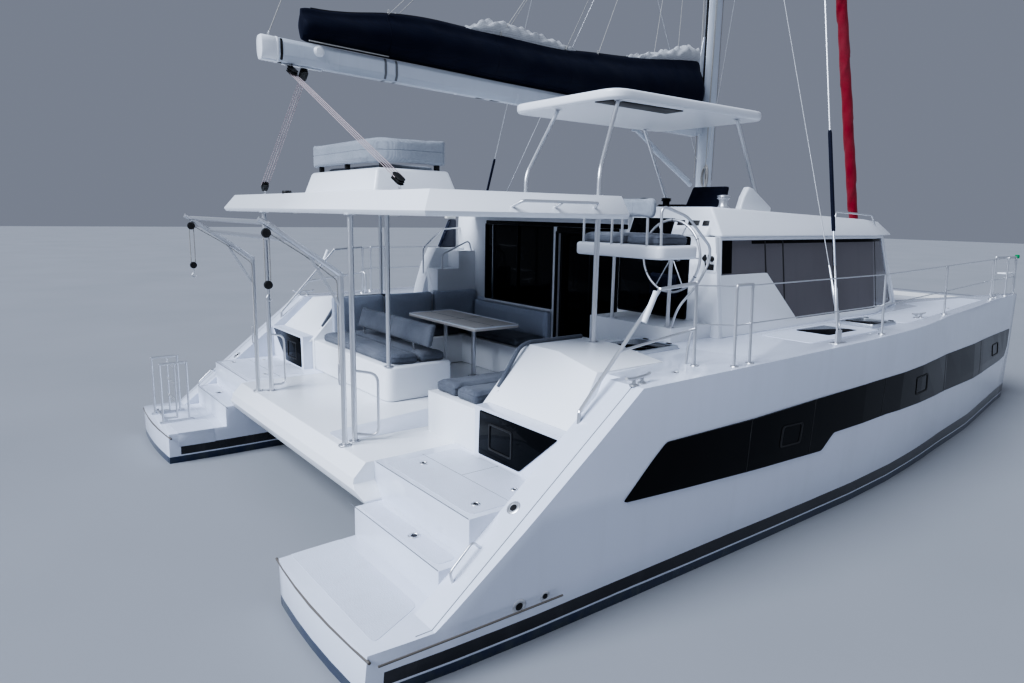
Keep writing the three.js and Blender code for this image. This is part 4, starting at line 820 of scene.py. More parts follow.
class CATAMARAN_OT_cabin(bpy.types.Operator):
    """Cabin walls, glass, doors and the sloped brow of the coachroof"""
    bl_idname = "catamaran.cabin"
    bl_label = "Cabin"

    def execute(self, context):
        for node in ("aft_bulkhead", "cabin_side_port", "cabin_side_starboard", "cabin_front"):
            mould(f"{node}_moulding", node, "gelcoat", 0.008, 2)
        mould("coachroof_moulding", "coachroof", "gelcoat", 0.03, 3, 20)
        for node in ("aft_window", "windscreen_port", "windscreen_starboard"):
            coat_node(node, "glass")
        for node in ("side_window_port", "side_window_starboard"):
            # the side glass's grey tint is lightened as painted reflection
            coat_node(node, "tinted")
        mould("sliding_door_pane", "saloon_door", "glass", 0.004, 2, body="saloon_door_body")
        mould("forward_door_pane", "forward_door", "glass", 0.004, 2, body="forward_door_body")
        mould("saloon_seat_and_counter", "saloon_furniture", "gelcoat", 0.02)
        return {"FINISHED"}


class CATAMARAN_OT_plain_nodes(bpy.types.Operator):
    """Parts whose solids are already right get their finish"""
    bl_idname = "catamaran.plain_nodes"
    bl_label = "Other parts"

    def execute(self, context):
        looks = {"gelcoat": "gelcoat", "steel": "steel", "spar": "spar", "dark_glass": "glass",
                 "side_glass": "tinted", "navy_cloth": "bag", "red_cloth": "headsail", "net": "net",
                 "light_cushion": "cushion", "dark_cushion": "backrest", "table": "table",
                 "bottom_paint": "bottom", "bronze": "bronze"}
        for node, piece in frame["nodes"].items():
            if not piece.hide_render and piece.data.materials[0].name.split(".")[0] not in looks.values():
                coat_node(node, looks[slot_of(node)])
        return {"FINISHED"}


# The photograph's camera: its place, how it is turned in degrees, its focal length and width in pixels
CAMERA_AT = (-7.976, -6.971, 3.024)
CAMERA_YAW, CAMERA_PITCH, CAMERA_ROLL = 52.437, -10.231, 1.054
CAMERA_FOCAL, PHOTO_WIDTH = 704.88, 1024
SENSOR = 36.0
# the way that each soft lamp's light falls, its strength and its spread in degrees
LAMPS = [((0.77, -0.02, -0.72), 3.8, 36.0), ((-0.45, 0.75, -0.5), 0.22, 60.0)]
LAMP_COLOUR = (0.81, 0.88, 1.0)
SKY_COLOUR, SKY_STRENGTH = (0.74, 0.81, 1.0), 0.25


class CATAMARAN_OT_stage(bpy.types.Operator):
    """Pale floor at the waterline, soft lamps and the photograph's camera"""
    bl_idname = "catamaran.stage"
    bl_label = "Stage"

    def execute(self, context):
        deselect()
        bpy.ops.mesh.primitive_plane_add(size=240, location=(0, 0, 0))
        floor = named("floor")
        floor.data.materials.append(material("floor"))
        for at, (way, strength, spread) in enumerate(LAMPS):
            bpy.ops.object.light_add(type="SUN", location=(0, 0, 30))
            lamp = bpy.context.object
            lamp.name = f"soft_lamp_{at}"
            lamp.data.energy = strength
            lamp.data.color = LAMP_COLOUR
            lamp.data.angle = math.radians(spread)
            lamp.rotation_euler = Vector(way).to_track_quat("-Z", "Y").to_euler()
        world = bpy.data.worlds.new("soft_sky")
        world.use_nodes = True
        feed(world.node_tree, world.node_tree.nodes["Background"], {"Color": SKY_COLOUR, "Strength": SKY_STRENGTH})
        context.scene.world = world
        context.scene.view_settings.look = "AgX - High Contrast"
        yaw, pitch, roll = (math.radians(angle) for angle in (CAMERA_YAW, CAMERA_PITCH, CAMERA_ROLL))
        ahead = Vector((math.cos(pitch) * math.cos(yaw), math.cos(pitch) * math.sin(yaw), math.sin(pitch)))
        level = ahead.cross(Vector(UP)).normalized()
        right = level * math.cos(roll) + level.cross(ahead) * math.sin(roll)
        way = Matrix((right, right.cross(ahead), -ahead)).transposed().to_4x4()
        bpy.ops.object.camera_add()
        camera = context.scene.camera = bpy.context.object
        camera.name = "photo_camera"
        camera.matrix_world = Matrix.Translation(CAMERA_AT) @ way
        camera.data.sensor_width = SENSOR
        camera.data.lens = CAMERA_FOCAL * SENSOR / PHOTO_WIDTH
        camera.data.clip_end = 400
        return {"FINISHED"}


# Soft goods


def inflated(piece, swell, floor_z):
    """Fills a remeshed pad by air pressure and holds every point within the swell."""
    rest = [vertex.co.copy() for vertex in piece.data.vertices]
    take(piece)
    filling = piece.modifiers.new("Filling", "CLOTH")
    filling.settings.use_pressure = True
    filling.settings.uniform_pressure_force = 4
    filling.settings.quality = 4
    filling.settings.effector_weights.gravity = 0
    filling.point_cache.frame_start, filling.point_cache.frame_end = 1, 20
    for step in range(1, 21):
        bpy.context.scene.frame_set(step)
    bpy.ops.object.modifier_apply(modifier=filling.name)
    bpy.context.scene.frame_set(1)
    for vertex, start in zip(piece.data.vertices, rest):
        move = vertex.co - start
        if move.length > swell:
            move = move.normalized() * swell
        vertex.co = start + move
        if vertex.co.z < floor_z:
            vertex.co.z = floor_z


def stitched(piece, axis, at, depth=0.005, reach=0.006):
    """A sewn line round the piece where it crosses one plane."""
    normal = [float(axis == index) for index in range(3)]
    edit(piece)
    for shift in (-reach, 0.0, reach):
        bpy.ops.mesh.select_all(action="SELECT")
        bpy.ops.mesh.bisect(plane_co=[(at + shift) * share for share in normal], plane_no=normal)
    leave()
    for vertex in piece.data.vertices:
        vertex.select = abs(vertex.co[axis] - at) < SAME
    for face in piece.data.polygons:
        face.select = False
    for edge in piece.data.edges:
        edge.select = all(piece.data.vertices[end].select for end in edge.vertices)
    bpy.ops.object.mode_set(mode="EDIT")
    bpy.ops.mesh.select_mode(type="VERT")
    bpy.ops.transform.shrink_fatten(value=-depth)
    leave()


def cushion(name, plane, outline, low, high, seams=(), corner=0.05, edge=0.03, swell=None):
    """A stuffed pad: rounded, remeshed, filled by pressure, then sewn along its seams."""
    shrink = 0.004
    piece = slab(name, plane, rounded(outline, corner, 3), low + shrink, high - shrink, edge, 3)
    modify(piece, "REMESH", mode="VOXEL", voxel_size=sizes().cushion_voxel)
    modify(piece, "SMOOTH", factor=0.5, iterations=4)
    floor_z = min(vertex.co.z for vertex in piece.data.vertices) - 0.003
    inflated(piece, swell or sizes().cushion_swell, floor_z)
    for axis, at in seams:
        stitched(piece, axis, at)
    return smooth(piece, 50)


def pad_outline(first, second, last_first, last_second):
    """The outline of a pad between two corners."""
    return [(first, second), (first, last_second), (last_first, last_second), (last_first, second)]


# low, high, look and seams of pads of one kind; a seam is the axis that it crosses and where
SEAT = (1.333, 1.425, "cushion", [(2, 1.4), (2, 1.355)])
BACK = (1.852, 1.946, "backrest", [(1, 1.9)])
HELM_PAD = (2.762, 2.845, "cushion", [(2, 2.825), (2, 2.78)])
# name, node, plane, outline, (low, high, look and seams) and more seams of each cushion
CUSHIONS = [
    ("bench_pad_aft", "bench_cushion", "xy",
     [(-4.375, 1.84), (-4.375, 0.13), (-4.34, 0.0), (-4.26, -0.07), (-4.14, -0.09), (-4.0, -0.09), (-4.0, 1.84)],
     SEAT, (1, 0.85)),
    ("bench_pad_fore", "bench_cushion", "xy", pad_outline(-3.985, -0.09, -3.645, 1.84), SEAT, (1, 0.85)),
    ("settee_pad_aft", "settee_cushion", "xy", pad_outline(-3.575, 1.33, -3.05, 1.84), SEAT),
    ("settee_pad_mid", "settee_cushion", "xy", pad_outline(-3.04, 1.33, -2.5, 1.84), SEAT),
    ("settee_pad_corner", "settee_cushion", "xy", pad_outline(-2.485, 1.33, -1.975, 1.84), SEAT),
    ("settee_pad_fore", "settee_cushion", "xy", pad_outline(-2.485, 0.085, -1.975, 1.315), SEAT, (1, 0.7)),
    ("settee_back_stern", "settee_backrest", "xz", pad_outline(-4.21, 1.335, -3.43, 1.91), BACK),
    ("settee_back_aft", "settee_backrest", "xz", pad_outline(-3.42, 1.335, -2.65, 1.91), BACK),
    ("settee_back_mid", "settee_backrest", "xz", pad_outline(-2.64, 1.335, -1.87, 1.91), BACK),
    ("settee_back_fore", "settee_backrest", "yz", pad_outline(0.085, 1.335, 1.845, 1.765),
     (-1.958, -1.868, "backrest", [(0, -1.91), (1, 0.96)])),
    ("lounge_pad_inner", "lounge_cushion", "xy", pad_outline(-4.52, -1.24, -3.55, -1.585), SEAT),
    ("lounge_pad_outer", "lounge_cushion", "xy", pad_outline(-4.52, -1.595, -3.55, -1.94), SEAT),
    ("helm_pad_inner", "helm_cushion", "xy", pad_outline(-2.895, -1.5, -2.41, -2.1), HELM_PAD),
    ("helm_pad_outer", "helm_cushion", "xy", pad_outline(-2.895, -2.11, -2.41, -2.555), HELM_PAD),
    ("roof_back", "roof_lounge_backrest", "xy",
     [(-4.92, 0.615), (-4.92, -0.565), (-4.873, -0.74), (-4.745, -0.868), (-4.57, -0.915), (-4.165, -0.915),
      (-4.165, -0.805), (-4.57, -0.805), (-4.69, -0.773), (-4.778, -0.685), (-4.81, -0.565), (-4.81, 0.615)],
     (3.475, 3.715, "pale_cushion", [(2, 3.6)]))]


class CATAMARAN_OT_cushions(bpy.types.Operator):
    """Seat, back and lounge cushions, filled and sewn"""
    bl_idname = "catamaran.cushions"
    bl_label = "Cushions"

    def execute(self, context):
        for name, node, plane, outline, (low, high, look, seams), *more in CUSHIONS:
            pad = cushion(name, plane, outline, low, high, seams + more, swell=0.01 if name == "roof_back" else None)
            put(pad, look, "boat", node)
        strip = [(-4.006, 1.524), (-3.934, 1.533), (-3.869, 1.796), (-3.932, 1.787)]
        rest = cushion("bench_back_pad", "xz", strip, -0.255, 1.555, [(1, 0.65)], 0.03, 0.018, 0.01)
        put(rest, "cushion", "boat", "bench_backrest")
        arms = [[(-3.901, y, 1.331), (-3.93, y, 1.49), (-3.945, y, 1.6)] for y in (0.19, 0.86, 1.5)]
        put(tubes("bench_back_brackets", arms, 0.011, 0.03), "steel")
        return {"FINISHED"}


# x, half width, foot z and top z along the sail bag
BAG = [
    (-5.24, 0.05, 4.645, 4.93), (-5.19, 0.08, 4.63, 4.945), (-4.9, 0.105, 4.62, 4.965), (-4.3, 0.125, 4.60, 5.04),
    (-3.7, 0.14, 4.58, 5.075), (-2.9, 0.15, 4.55, 5.055), (-1.9, 0.16, 4.52, 5.05), (-0.9, 0.17, 4.49, 5.11),
    (0.1, 0.175, 4.455, 5.225), (0.62, 0.165, 4.44, 5.285), (0.69, 0.12, 4.48, 5.26)]
BAG_LONG, BAG_ROUND = 150, 36


def row_at(rows, x):
    """The numbers after x in the row at x, on a smooth curve through the table's rows."""
    last = len(rows) - 1
    at = next((index for index in range(last) if rows[index + 1][0] >= x), last - 1)
    before, first, second, after = (rows[max(0, min(last, index))] for index in (at - 1, at, at + 1, at + 2))
    share = (x - first[0]) / (second[0] - first[0])
    result = []
    for a, b, c, d in zip(before, first, second, after):
        value = b + (c - a) * share / 2 + (2 * a - 5 * b + 4 * c - d) * share ** 2 / 2
        result.append(value + (3 * b - a - 3 * c + d) * share ** 3 / 2)
    return result[1:]


def bag_point(x, turn):
    """A point of the bag's skin, with the folds that its lines and battens pull into the canvas."""
    half, foot, top = row_at(BAG, x)
    side, rise = math.sin(turn), -math.cos(turn)
    body = 0.5 + 0.5 * rise
    width = half * (0.62 + 0.6 * math.sin(math.pi * min(1.0, body * 1.12 + 0.08)) ** 0.8)
    pull = 0.012 * math.sin(x * 5.1 + 1.3 * math.sin(x * 1.7)) * math.sin(math.pi * body)
    crease = 0.006 * math.sin(x * 17.0 + body * 9.0 + 2.0 * math.sin(x * 3.1)) * math.sin(math.pi * body)
    sag = 0.012 * math.sin(x * 2.3) ** 2 * body
    y = math.copysign(abs(side) ** 0.75, side) * width + math.copysign(pull + crease, side) * abs(side)
    return (x, y, foot + (top - foot) * body - sag)


# Rig

BOOM_FOOT_Z, BOOM_END_X, BOOM_RISE = 4.41, -5.64, -0.033


def boom_low(x):
    """Height of the boom's underside at x."""
    return BOOM_FOOT_Z + BOOM_RISE * (x - BOOM_END_X)


def along_boom(name, start, end, grow=0.0, bevel=0.0):
    """A length of the boom's own section, swollen by a little."""
    outline = [(-0.045, -grow), (0.045, -grow), (0.075 + grow, 0.06), (0.075 + grow, 0.175),
               (0.052, 0.215 + grow), (-0.052, 0.215 + grow), (-0.075 - grow, 0.175), (-0.075 - grow, 0.06)]
    piece = slab(name, "yz", rounded(outline, 0.03, 3), start, end, bevel)
    shear = Matrix.Identity(4)
    shear[2][0], shear[2][3] = BOOM_RISE, boom_low(0)
    piece.data.transform(shear)
    return piece


def pulley(name, at, radius=0.034, axis=(0, 1, 0)):
    """A block: two cheeks with the sheave between them."""
    wide = radius * 0.62
    half = [(0, 1), (0.85, 1), (1, 0.7), (1, 0.5), (0.72, 0.3)]
    rows = [(reach, -rise) for reach, rise in half] + half[::-1]
    return turned(name, [(radius * reach, wide * rise) for reach, rise in rows], at, axis, 20)


def tackle_block(name, at, toward, size=0.032):
    """A double block whose cheeks point along its tackle."""
    oval = rounded(rectangle((-size * 1.1, -size * 1.4), (size * 1.1, size * 2.8)), size, 6)
    cheeks = [slab(f"{name}_cheek_{side}", "xz", oval, side * size * 0.66 - 0.004, side * size * 0.66 + 0.004, 0.003)
              for side in (-1, 0, 1)]
    whole = joined(name, *cheeks, pulley(f"{name}_sheave", (0, 0, 0), size * 0.9),
                   pulley(f"{name}_sheave_fore", (0, 0, size * 1.6), size * 0.7))
    turn = (Vector(toward) - Vector(at)).to_track_quat("Z", "Y").to_matrix().to_4x4()
    whole.data.transform(Matrix.Translation(at) @ turn)
    return whole


def taut(start, end, steps=1):
    return [lerp(start, end, at / steps) for at in range(steps + 1)]


def shackle(name, at, size=0.018):
    """A small bow with its pin."""
    def run(places):
        return [[(at[0], at[1] + across * size, at[2] + up * size) for across, up in places]]

    bow = tubes(f"{name}_bow", run([(-1, -1), (-1.2, 1), (1.2, 1), (1, -1)]), size * 0.24, size * 0.9)
    return joined(name, bow, tubes(f"{name}_pin", run([(-1.5, -1), (1.5, -1)]), size * 0.28))


SHEET_FOOT_X, SHEET_FOOT_Y, SHEET_FOOT_Z = -5.1, 1.67, 3.285
# x and y of the mainsheet's upper blocks, starboard and port
SHEET_TOPS = [(-5.36, -0.02), (-5.22, 0.02)]
# how far each fall stands from its tackle's middle
FALLS = (-0.042, -0.014, 0.014, 0.042)
MAST_BACK_X, MAST_X, MASTHEAD_Z = 0.845, 1.0, 19.62
LIFT_X = -5.56
JACK_HEAD = (0.62, 0.124, 9.72)
# x on the bag's top of each lazy jack, and the side that it runs up
JACKS = [(-4.33, -1), (-2.9, -1), (-1.9, -1), (-1.35, -1), (-0.2, 1), (0.3, 1), (-4.2, 1), (-2.8, 1)]


class CATAMARAN_OT_boom_gear(bpy.types.Operator):
    """The boom's extrusion and ends, its lines, the mainsheet, vang and lazy jacks"""
    bl_idname = "catamaran.boom_gear"
    bl_label = "Boom gear"

    def execute(self, context):
        mould("boom_extrusion", "boom", "spar_white", 0.012, 3, 20, body=BOOM)
        put(joined("boom_end_cap", along_boom("cap", -5.652, -5.5, 0.005, 0.012),
                   along_boom("cap_lip", -5.51, -5.49, 0.009, 0.003)), "gelcoat", BOOM)
        put(along_boom("end_band", -5.476, -5.452, 0.003, 0.001), "rubber", BOOM, slot="navy_cloth")
        straps = [along_boom(f"bag_strap_{at}", x - 0.013, x + 0.013, 0.004, 0.001)
                  for at, x in enumerate((-4.381, -4.255, -1.1, -0.95))]
        put(joined("bag_straps", *straps), "pad", BOOM, slot="dark_cushion")
        slots = [block(f"slot_{at}", (x, -0.02, boom_low(x) - 0.004), (x + 0.12, 0.02, boom_low(x) + 0.012), 0.003)
                 for at, x in enumerate((-3.2, -3.0, -0.6))]
        put(joined("boom_slots", *slots), "rubber", BOOM)
        rail = [(x, 0.0, boom_low(x) - 0.008) for x in (-5.45, -5.05)]
        put(tubes("sheet_rail", [rail], 0.011), "steel", BOOM)
        exits = [turned(f"line_exit_{at}", [(0, 0), (0.05, 0), (0.055, 0.01), (0.035, 0.03), (0, 0.034)],
                        (x, side * 0.072, boom_low(x) + 0.15), (0, side, 0))
                 for at, (x, side) in enumerate(((-5.1, -1), (-5.1, 1), (0.2, -1), (0.2, 1)))]
        put(joined("line_exits", *exits), "gelcoat", BOOM)
        foot_line = [(x, -0.085, boom_low(x) + 0.232) for x in (-5.2, -4.9, -4.6, -4.35)]
        put(tubes("outhaul_line", [foot_line], 0.007, 0.05), "rope", BOOM)
        for name, side, (top_x, top_y) in zip(("starboard", "port"), (-1, 1), SHEET_TOPS):
            self.mainsheet(name, (top_x, top_y, boom_low(top_x) - 0.055),
                           (SHEET_FOOT_X, side * SHEET_FOOT_Y, SHEET_FOOT_Z))
        self.lifts()
        strut = tubes("vang_tube", [[(0.7, 0, 3.5), (-0.541, 0, boom_low(-0.541) - 0.03)]], 0.032, sides=5)
        inner = tubes("vang_rod", [[(0.62, 0, 3.56), (-0.2, 0, 3.995)]], 0.041, sides=5)
        lug = block("vang_lug", (-0.6, -0.02, boom_low(-0.55) - 0.07), (-0.5, 0.02, boom_low(-0.55) + 0.004), 0.008)
        put(joined("boom_vang", strut, inner, lug), "spar_white", BOOM)
        return {"FINISHED"}

    def mainsheet(self, side, head, foot):
        """One tackle from under the boom to the cockpit roof; its lines stretch between the two."""
        put(joined(f"sheet_block_upper_{side}", tackle_block("upper", head, foot),
                   shackle("bow", (head[0], head[1], head[2] + 0.045), 0.016)), "rubber", BOOM)
        base = turned("eye_base", [(0, 0), (0.032, 0), (0.032, 0.006), (0.02, 0.012), (0, 0.014)], (*foot[:2], 3.2))
        put(joined(f"sheet_eye_{side}", base, shackle("eye", (*foot[:2], 3.232), 0.016)), "steel")
        put(tackle_block(f"sheet_block_lower_{side}", foot, head), "rubber")
        runs = [taut((foot[0] + shift, foot[1], foot[2] + 0.02), (head[0] + shift * 0.7, head[1], head[2] - 0.02), 24)
                for shift in FALLS]
        falls = put(tubes(f"sheet_falls_{side}", runs, 0.004, sides=1), "red_rope", None)
        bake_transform(falls)

    def lifts(self):
        """The topping lift from the boom's end and the lazy jacks with their ends."""
        end = (LIFT_X, 0, boom_low(LIFT_X) + 0.24)
        put(tubes("topping_lift", [taut(end, (MAST_BACK_X, 0, MASTHEAD_Z))], 0.005, sides=1), "rope", BOOM)
        put(shackle("topping_lift_shackle", end, 0.02), "steel", BOOM)
        jacks, ends = [], []
        for at, (x, side) in enumerate(JACKS):
            top = row_at(BAG, x)[2]
            jacks.append(taut((x, side * 0.05, top - 0.02), (JACK_HEAD[0], side * JACK_HEAD[1], JACK_HEAD[2])))
            ends.append(shackle(f"jack_end_{at}", (x, side * 0.05, top + 0.01), 0.014))
        put(tubes("lazy_jacks", jacks, 0.0035, sides=1), "rope", BOOM)
        put(joined("lazy_jack_ends", *ends), "rope", BOOM)


# x, half width, foot z and top z of the sail that shows over the bag at two places
SAIL_HEAPS = [
    [(-3.35, 0.03, 5.02, 5.06), (-3.1, 0.05, 5.02, 5.17), (-2.85, 0.06, 5.02, 5.2), (-2.55, 0.055, 5.0, 5.17),
     (-2.3, 0.05, 5.0, 5.15), (-2.0, 0.045, 5.0, 5.11), (-1.7, 0.03, 5.0, 5.06)],
    [(-0.75, 0.03, 5.08, 5.13), (-0.4, 0.06, 5.1, 5.21), (0.1, 0.07, 5.15, 5.33), (0.4, 0.075, 5.18, 5.43),
     (0.66, 0.06, 5.2, 5.42)]]


def lofted(name, long_steps, round_steps, place):
    """A closed shell whose point at each share along and each turn round comes from place()."""
    deselect()
    bpy.ops.mesh.primitive_grid_add(x_subdivisions=long_steps, y_subdivisions=round_steps, size=1)
    piece = named(name)
    for vertex in piece.data.vertices:
        vertex.co = place(vertex.co.x + 0.5, (vertex.co.y + 0.5) * math.tau)
    merged(piece, 1e-5)
    bpy.ops.mesh.select_all(action="SELECT")
    bpy.ops.mesh.fill_holes(sides=0)
    consistent()
    leave()
    return piece


class CATAMARAN_OT_sail_bag(bpy.types.Operator):
    """The sail bag as a sagging, creased shell with its zip, and the sail that shows over it"""
    bl_idname = "catamaran.sail_bag"
    bl_label = "Sail bag"

    def execute(self, context):
        start, end = BAG[0][0], BAG[-1][0]
        bag = lofted("sail_bag_cover", BAG_LONG, BAG_ROUND,
                     lambda share, turn: bag_point(start + (end - start) * share, turn))
        put(smooth(bag, 60), "bag", BOOM, "sail_bag")
        steps = [start + 0.1 + (end - start - 0.2) * at / 60 for at in range(61)]
        zip_line = [Vector(bag_point(x, math.pi)) + Vector((0, 0, 0.003)) for x in steps]
        put(tubes("bag_zip", [zip_line], 0.007, sides=1), "rubber", BOOM, slot="navy_cloth")
        hems = [[bag_point(x, side * 0.5) for x in steps] for side in (-1, 1)]
        put(tubes("bag_hems", hems, 0.006, sides=1), "bag", BOOM)
        bands = []
        for x in (-4.35, -3.0, -1.9, -0.9, 0.1):
            ring = [Vector(bag_point(x, 0.35 + at * (math.tau - 0.7) / 24)) for at in range(25)]
            middle = Vector((x, 0, (ring[0].z + ring[12].z) / 2))
            bands.append([tuple(point + (point - middle).normalized() * 0.0015) for point in ring])
        put(tubes("bag_seams", bands, 0.0035, sides=1), "bag", BOOM)
        for at, rows in enumerate(SAIL_HEAPS):
            heap = lofted(f"sail_folds_{at}", 70, 22, lambda share, turn: self.fold(rows, share, turn))
            put(smooth(heap, 60), "sail", BOOM)
        return {"FINISHED"}

    def fold(self, rows, share, turn):
        """A point of the crumpled sail."""
        x = rows[0][0] + (rows[-1][0] - rows[0][0]) * share
        half, foot, top = row_at(rows, x)
        body = 0.5 - 0.5 * math.cos(turn)
        crumple = 0.014 * math.sin(x * 23.0 + turn * 3.0) + 0.012 * math.sin(x * 41.0 - turn * 2.0)
        crumple += 0.01 * math.sin(x * 13.0 + turn * 5.0)
        width = half * math.sin(turn) * (1.0 + 5.0 * crumple * body)
        return (x, width, foot + (top - foot) * body + crumple * body)


# distance up the stay and radius of the furled headsail
FURLED = [(0.0, 0.032), (0.35, 0.034), (1.0, 0.08), (2.2, 0.094), (7.0, 0.088), (12.0, 0.06), (14.6, 0.04),
          (15.0, 0.016)]
FURLED_FOOT, FURLED_LENGTH, FURLED_WRAP = 0.42, 14.6, 5.5
STAY_FOOT, STAY_HEAD = (5.99, 0, 1.9), (1.13, 0, 17.4)
SHROUD_FOOT, SHROUD_HEAD = (-1.06, -3.4, 1.79), (0.94, -0.095, 17.5)
LOWER_FOOT, LOWER_HEAD = (-1.02, -3.39, 1.93), (0.9, -0.1, 9.75)
SPREADER_Z = 9.9


def along(foot, head):
    """A line's foot and its way."""
    return Vector(foot), (Vector(head) - Vector(foot)).normalized()


class CATAMARAN_OT_mast_gear(bpy.types.Operator):
    """The mast's track, halyards, lights and masthead, the shrouds' screws and the furling gear"""
    bl_idname = "catamaran.mast_gear"
    bl_label = "Mast gear"

    def execute(self, context):
        mould("mast_and_spreaders", "mast", "spar_white", 0.006, 2, 40)
        track = block("luff_track", (MAST_BACK_X - 0.006, -0.016, 4.75), (MAST_BACK_X + 0.02, 0.016, 19.3), 0.003)
        put(track, "rubber")
        put(slab("sail_head_car", "xz", [(0.7, 5.1), (0.84, 5.05), (0.84, 5.62), (0.79, 5.6)], -0.006, 0.006, 0.002),
            "spar")
        halyards = [[(0.9, side * 0.1, 3.62), (0.88 + shift, side * 0.115, 8.0), (0.9 + shift, side * 0.1, 19.5)]
                    for side, shift in ((-1, 0.0), (-1, 0.05), (1, 0.0), (1, 0.05))]
        halyards.append([(1.17, -0.02, 3.6), (1.18, -0.02, 17.3)])
        put(tubes("halyards", halyards, 0.0055, sides=1), "rope")
        self.mast_foot()
        self.masthead()
        self.shrouds()
        self.forestay()
        return {"FINISHED"}

    def mast_foot(self):
        """Collar, foot blocks, coiled halyard and the lines aft, with the deck light and radar above."""
        put(turned("mast_collar", [(0, 0.0), (0.25, 0.0), (0.25, 0.02), (0.21, 0.05), (0.19, 0.1), (0, 0.1)],
                   (MAST_X, 0, 3.045)), "gelcoat")
        sheaves = [pulley(f"foot_block_{at}", (MAST_X + 0.2 * math.cos(turn), 0.2 * math.sin(turn), 3.2), 0.03,
                          (math.sin(turn), -math.cos(turn), 0)) for at, turn in enumerate((2.2, 2.7, 3.6, 4.1, 5.2))]
        put(joined("foot_blocks", *sheaves), "rubber")
        turns = [math.tau * at / 16 for at in range(16)]
        coil = []
        for ring in range(5):
            reach = 0.09 + 0.012 * (ring % 3)
            coil.append([(0.86 + 0.02 * ring * math.cos(turn), -0.12 + reach * 0.7 * math.cos(turn) - 0.01 * ring,
                          3.62 + reach * 1.6 * math.sin(turn)) for turn in turns])
        put(tubes("halyard_coil", coil, 0.0065, 0.02, closed=True, sides=1, steps=2), "rope")
        lines = [[(0.85, -0.16, 3.18), (0.5, -0.5, 3.11), (-0.9, -1.6 - shift, 3.13), (-1.5, -1.75 - shift, 3.1)]
                 for shift in (0.0, 0.035, 0.07, 0.105)]
        put(tubes("deck_lines", lines, 0.0055, 0.1, sides=1), "red_rope")
        put(joined("deck_light", block("lamp_case", (1.13, -0.05, 9.2), (1.22, 0.05, 9.32), 0.02),
                   turned("lamp_lens", [(0, 0), (0.04, 0), (0.03, 0.03), (0, 0.036)], (1.17, 0, 9.2), DOWN)), "lamp")
        put(turned("radar_dome", [(0, 0), (0.22, 0), (0.27, 0.05), (0.27, 0.12), (0.2, 0.2), (0, 0.22)],
                   (1.42, 0, 8.2), steps=32), "gelcoat")
        arms = [[(1.14, y, 8.05), (1.4, y * 2.4, 8.2)] for y in (-0.05, 0.05)] + [[(1.14, 0, 7.85), (1.42, 0, 8.2)]]
        put(tubes("radar_arms", arms, 0.016), "spar")

    def masthead(self):
        """Wind vane, anchor light, aerial and halyard sheaves."""
        vane = [[(0.8, 0.03, 19.7), (0.8, 0.03, 19.98)], [(0.62, 0.03, 19.98), (0.98, 0.03, 19.98)]]
        tail = slab("vane_tail", "xz", [(0.56, 19.95), (0.68, 19.97), (0.68, 19.99), (0.56, 20.01)], 0.028, 0.032)
        put(joined("wind_vane", tubes("vane_rods", vane, 0.005), tail), "rubber")
        put(turned("anchor_light", [(0, 0), (0.035, 0), (0.035, 0.02), (0.03, 0.03), (0.03, 0.08), (0.018, 0.1),
                                    (0, 0.1)], (1.05, 0, 19.7)), "lamp")
        put(tubes("masthead_aerial", [[(0.95, -0.05, 19.68), (0.95, -0.05, 20.15)]], 0.004), "gelcoat")
        put(joined("head_sheaves", *[pulley(f"head_sheave_{at}", (x, 0, 19.63), 0.05)
                                     for at, x in enumerate((0.71, 1.17))]), "rubber")

    def shrouds(self):
        """Lower shrouds, the wires from the spreader tips, and the screws and sleeves of all of them."""
        foot, way = along(SHROUD_FOOT, SHROUD_HEAD)
        low_foot, low_way = along(LOWER_FOOT, LOWER_HEAD)
        tip = foot + way * ((SPREADER_Z - foot.z) / way.z)
        outer = tip + Vector((0, 0.02, 0))
        wires = [taut(low_foot, LOWER_HEAD), taut(outer, (0.93, -0.1, 17.2)), taut(outer, (0.93, -0.1, 3.9))]
        twins(tubes("lower_shrouds_starboard", wires, 0.005, sides=1), "steel")
        screw = [(0, 0.0), (0.011, 0.0), (0.011, 0.08), (0.019, 0.1), (0.019, 0.42), (0.012, 0.45), (0.012, 0.6),
                 (0.008, 0.66), (0, 0.66)]
        screws = [turned(f"screw_{at}", screw, start + way_up * 0.14, way_up, 16)
                  for at, (start, way_up) in enumerate(((foot, way), (low_foot - low_way * 0.1, low_way)))]
        twins(joined("rigging_screws_starboard", *screws), "steel")
        twins(block("chainplate_cover", (-1.14, -3.44, 1.785), (-0.96, -3.34, 1.802), 0.006), "steel")
        twins(turned("shroud_sleeve", [(0, 0), (0.017, 0), (0.019, 0.03), (0.019, 1.02), (0.015, 1.05), (0, 1.05)],
                     foot + way * 1.16, way, 14), "bag")
        twins(turned("shroud_cover", [(0, 0), (0.012, 0), (0.012, 0.34), (0.009, 0.36), (0, 0.36)], foot + way * 0.8,
                     way, 14), "spar")
        twins(turned("spreader_tip", [(0, -0.05), (0.03, -0.04), (0.034, 0.0), (0.03, 0.04), (0, 0.05)],
                     tip + Vector((0, 0.01, 0))), "rubber")

    def forestay(self):
        """The furled headsail wound on its foil, with its drum and swivels."""
        foot, way = along(STAY_FOOT, STAY_HEAD)
        side = way.orthogonal().normalized()
        third = way.cross(side)

        def point(share, turn):
            up = FURLED_FOOT + FURLED_LENGTH * share
            low = max(at for at in range(len(FURLED) - 1) if FURLED[at][0] <= up)
            (start, radius), (end, last_radius) = FURLED[low:low + 2]
            radius += (last_radius - radius) * min(1.0, (up - start) / (end - start))
            wrap = (turn - up * FURLED_WRAP) % math.tau
            reach = radius * (0.9 + 0.14 * wrap / math.tau + 0.03 * math.sin(wrap * 3.0 + up * 2.0))
            return foot + way * up + side * reach * math.cos(turn) + third * reach * math.sin(turn)

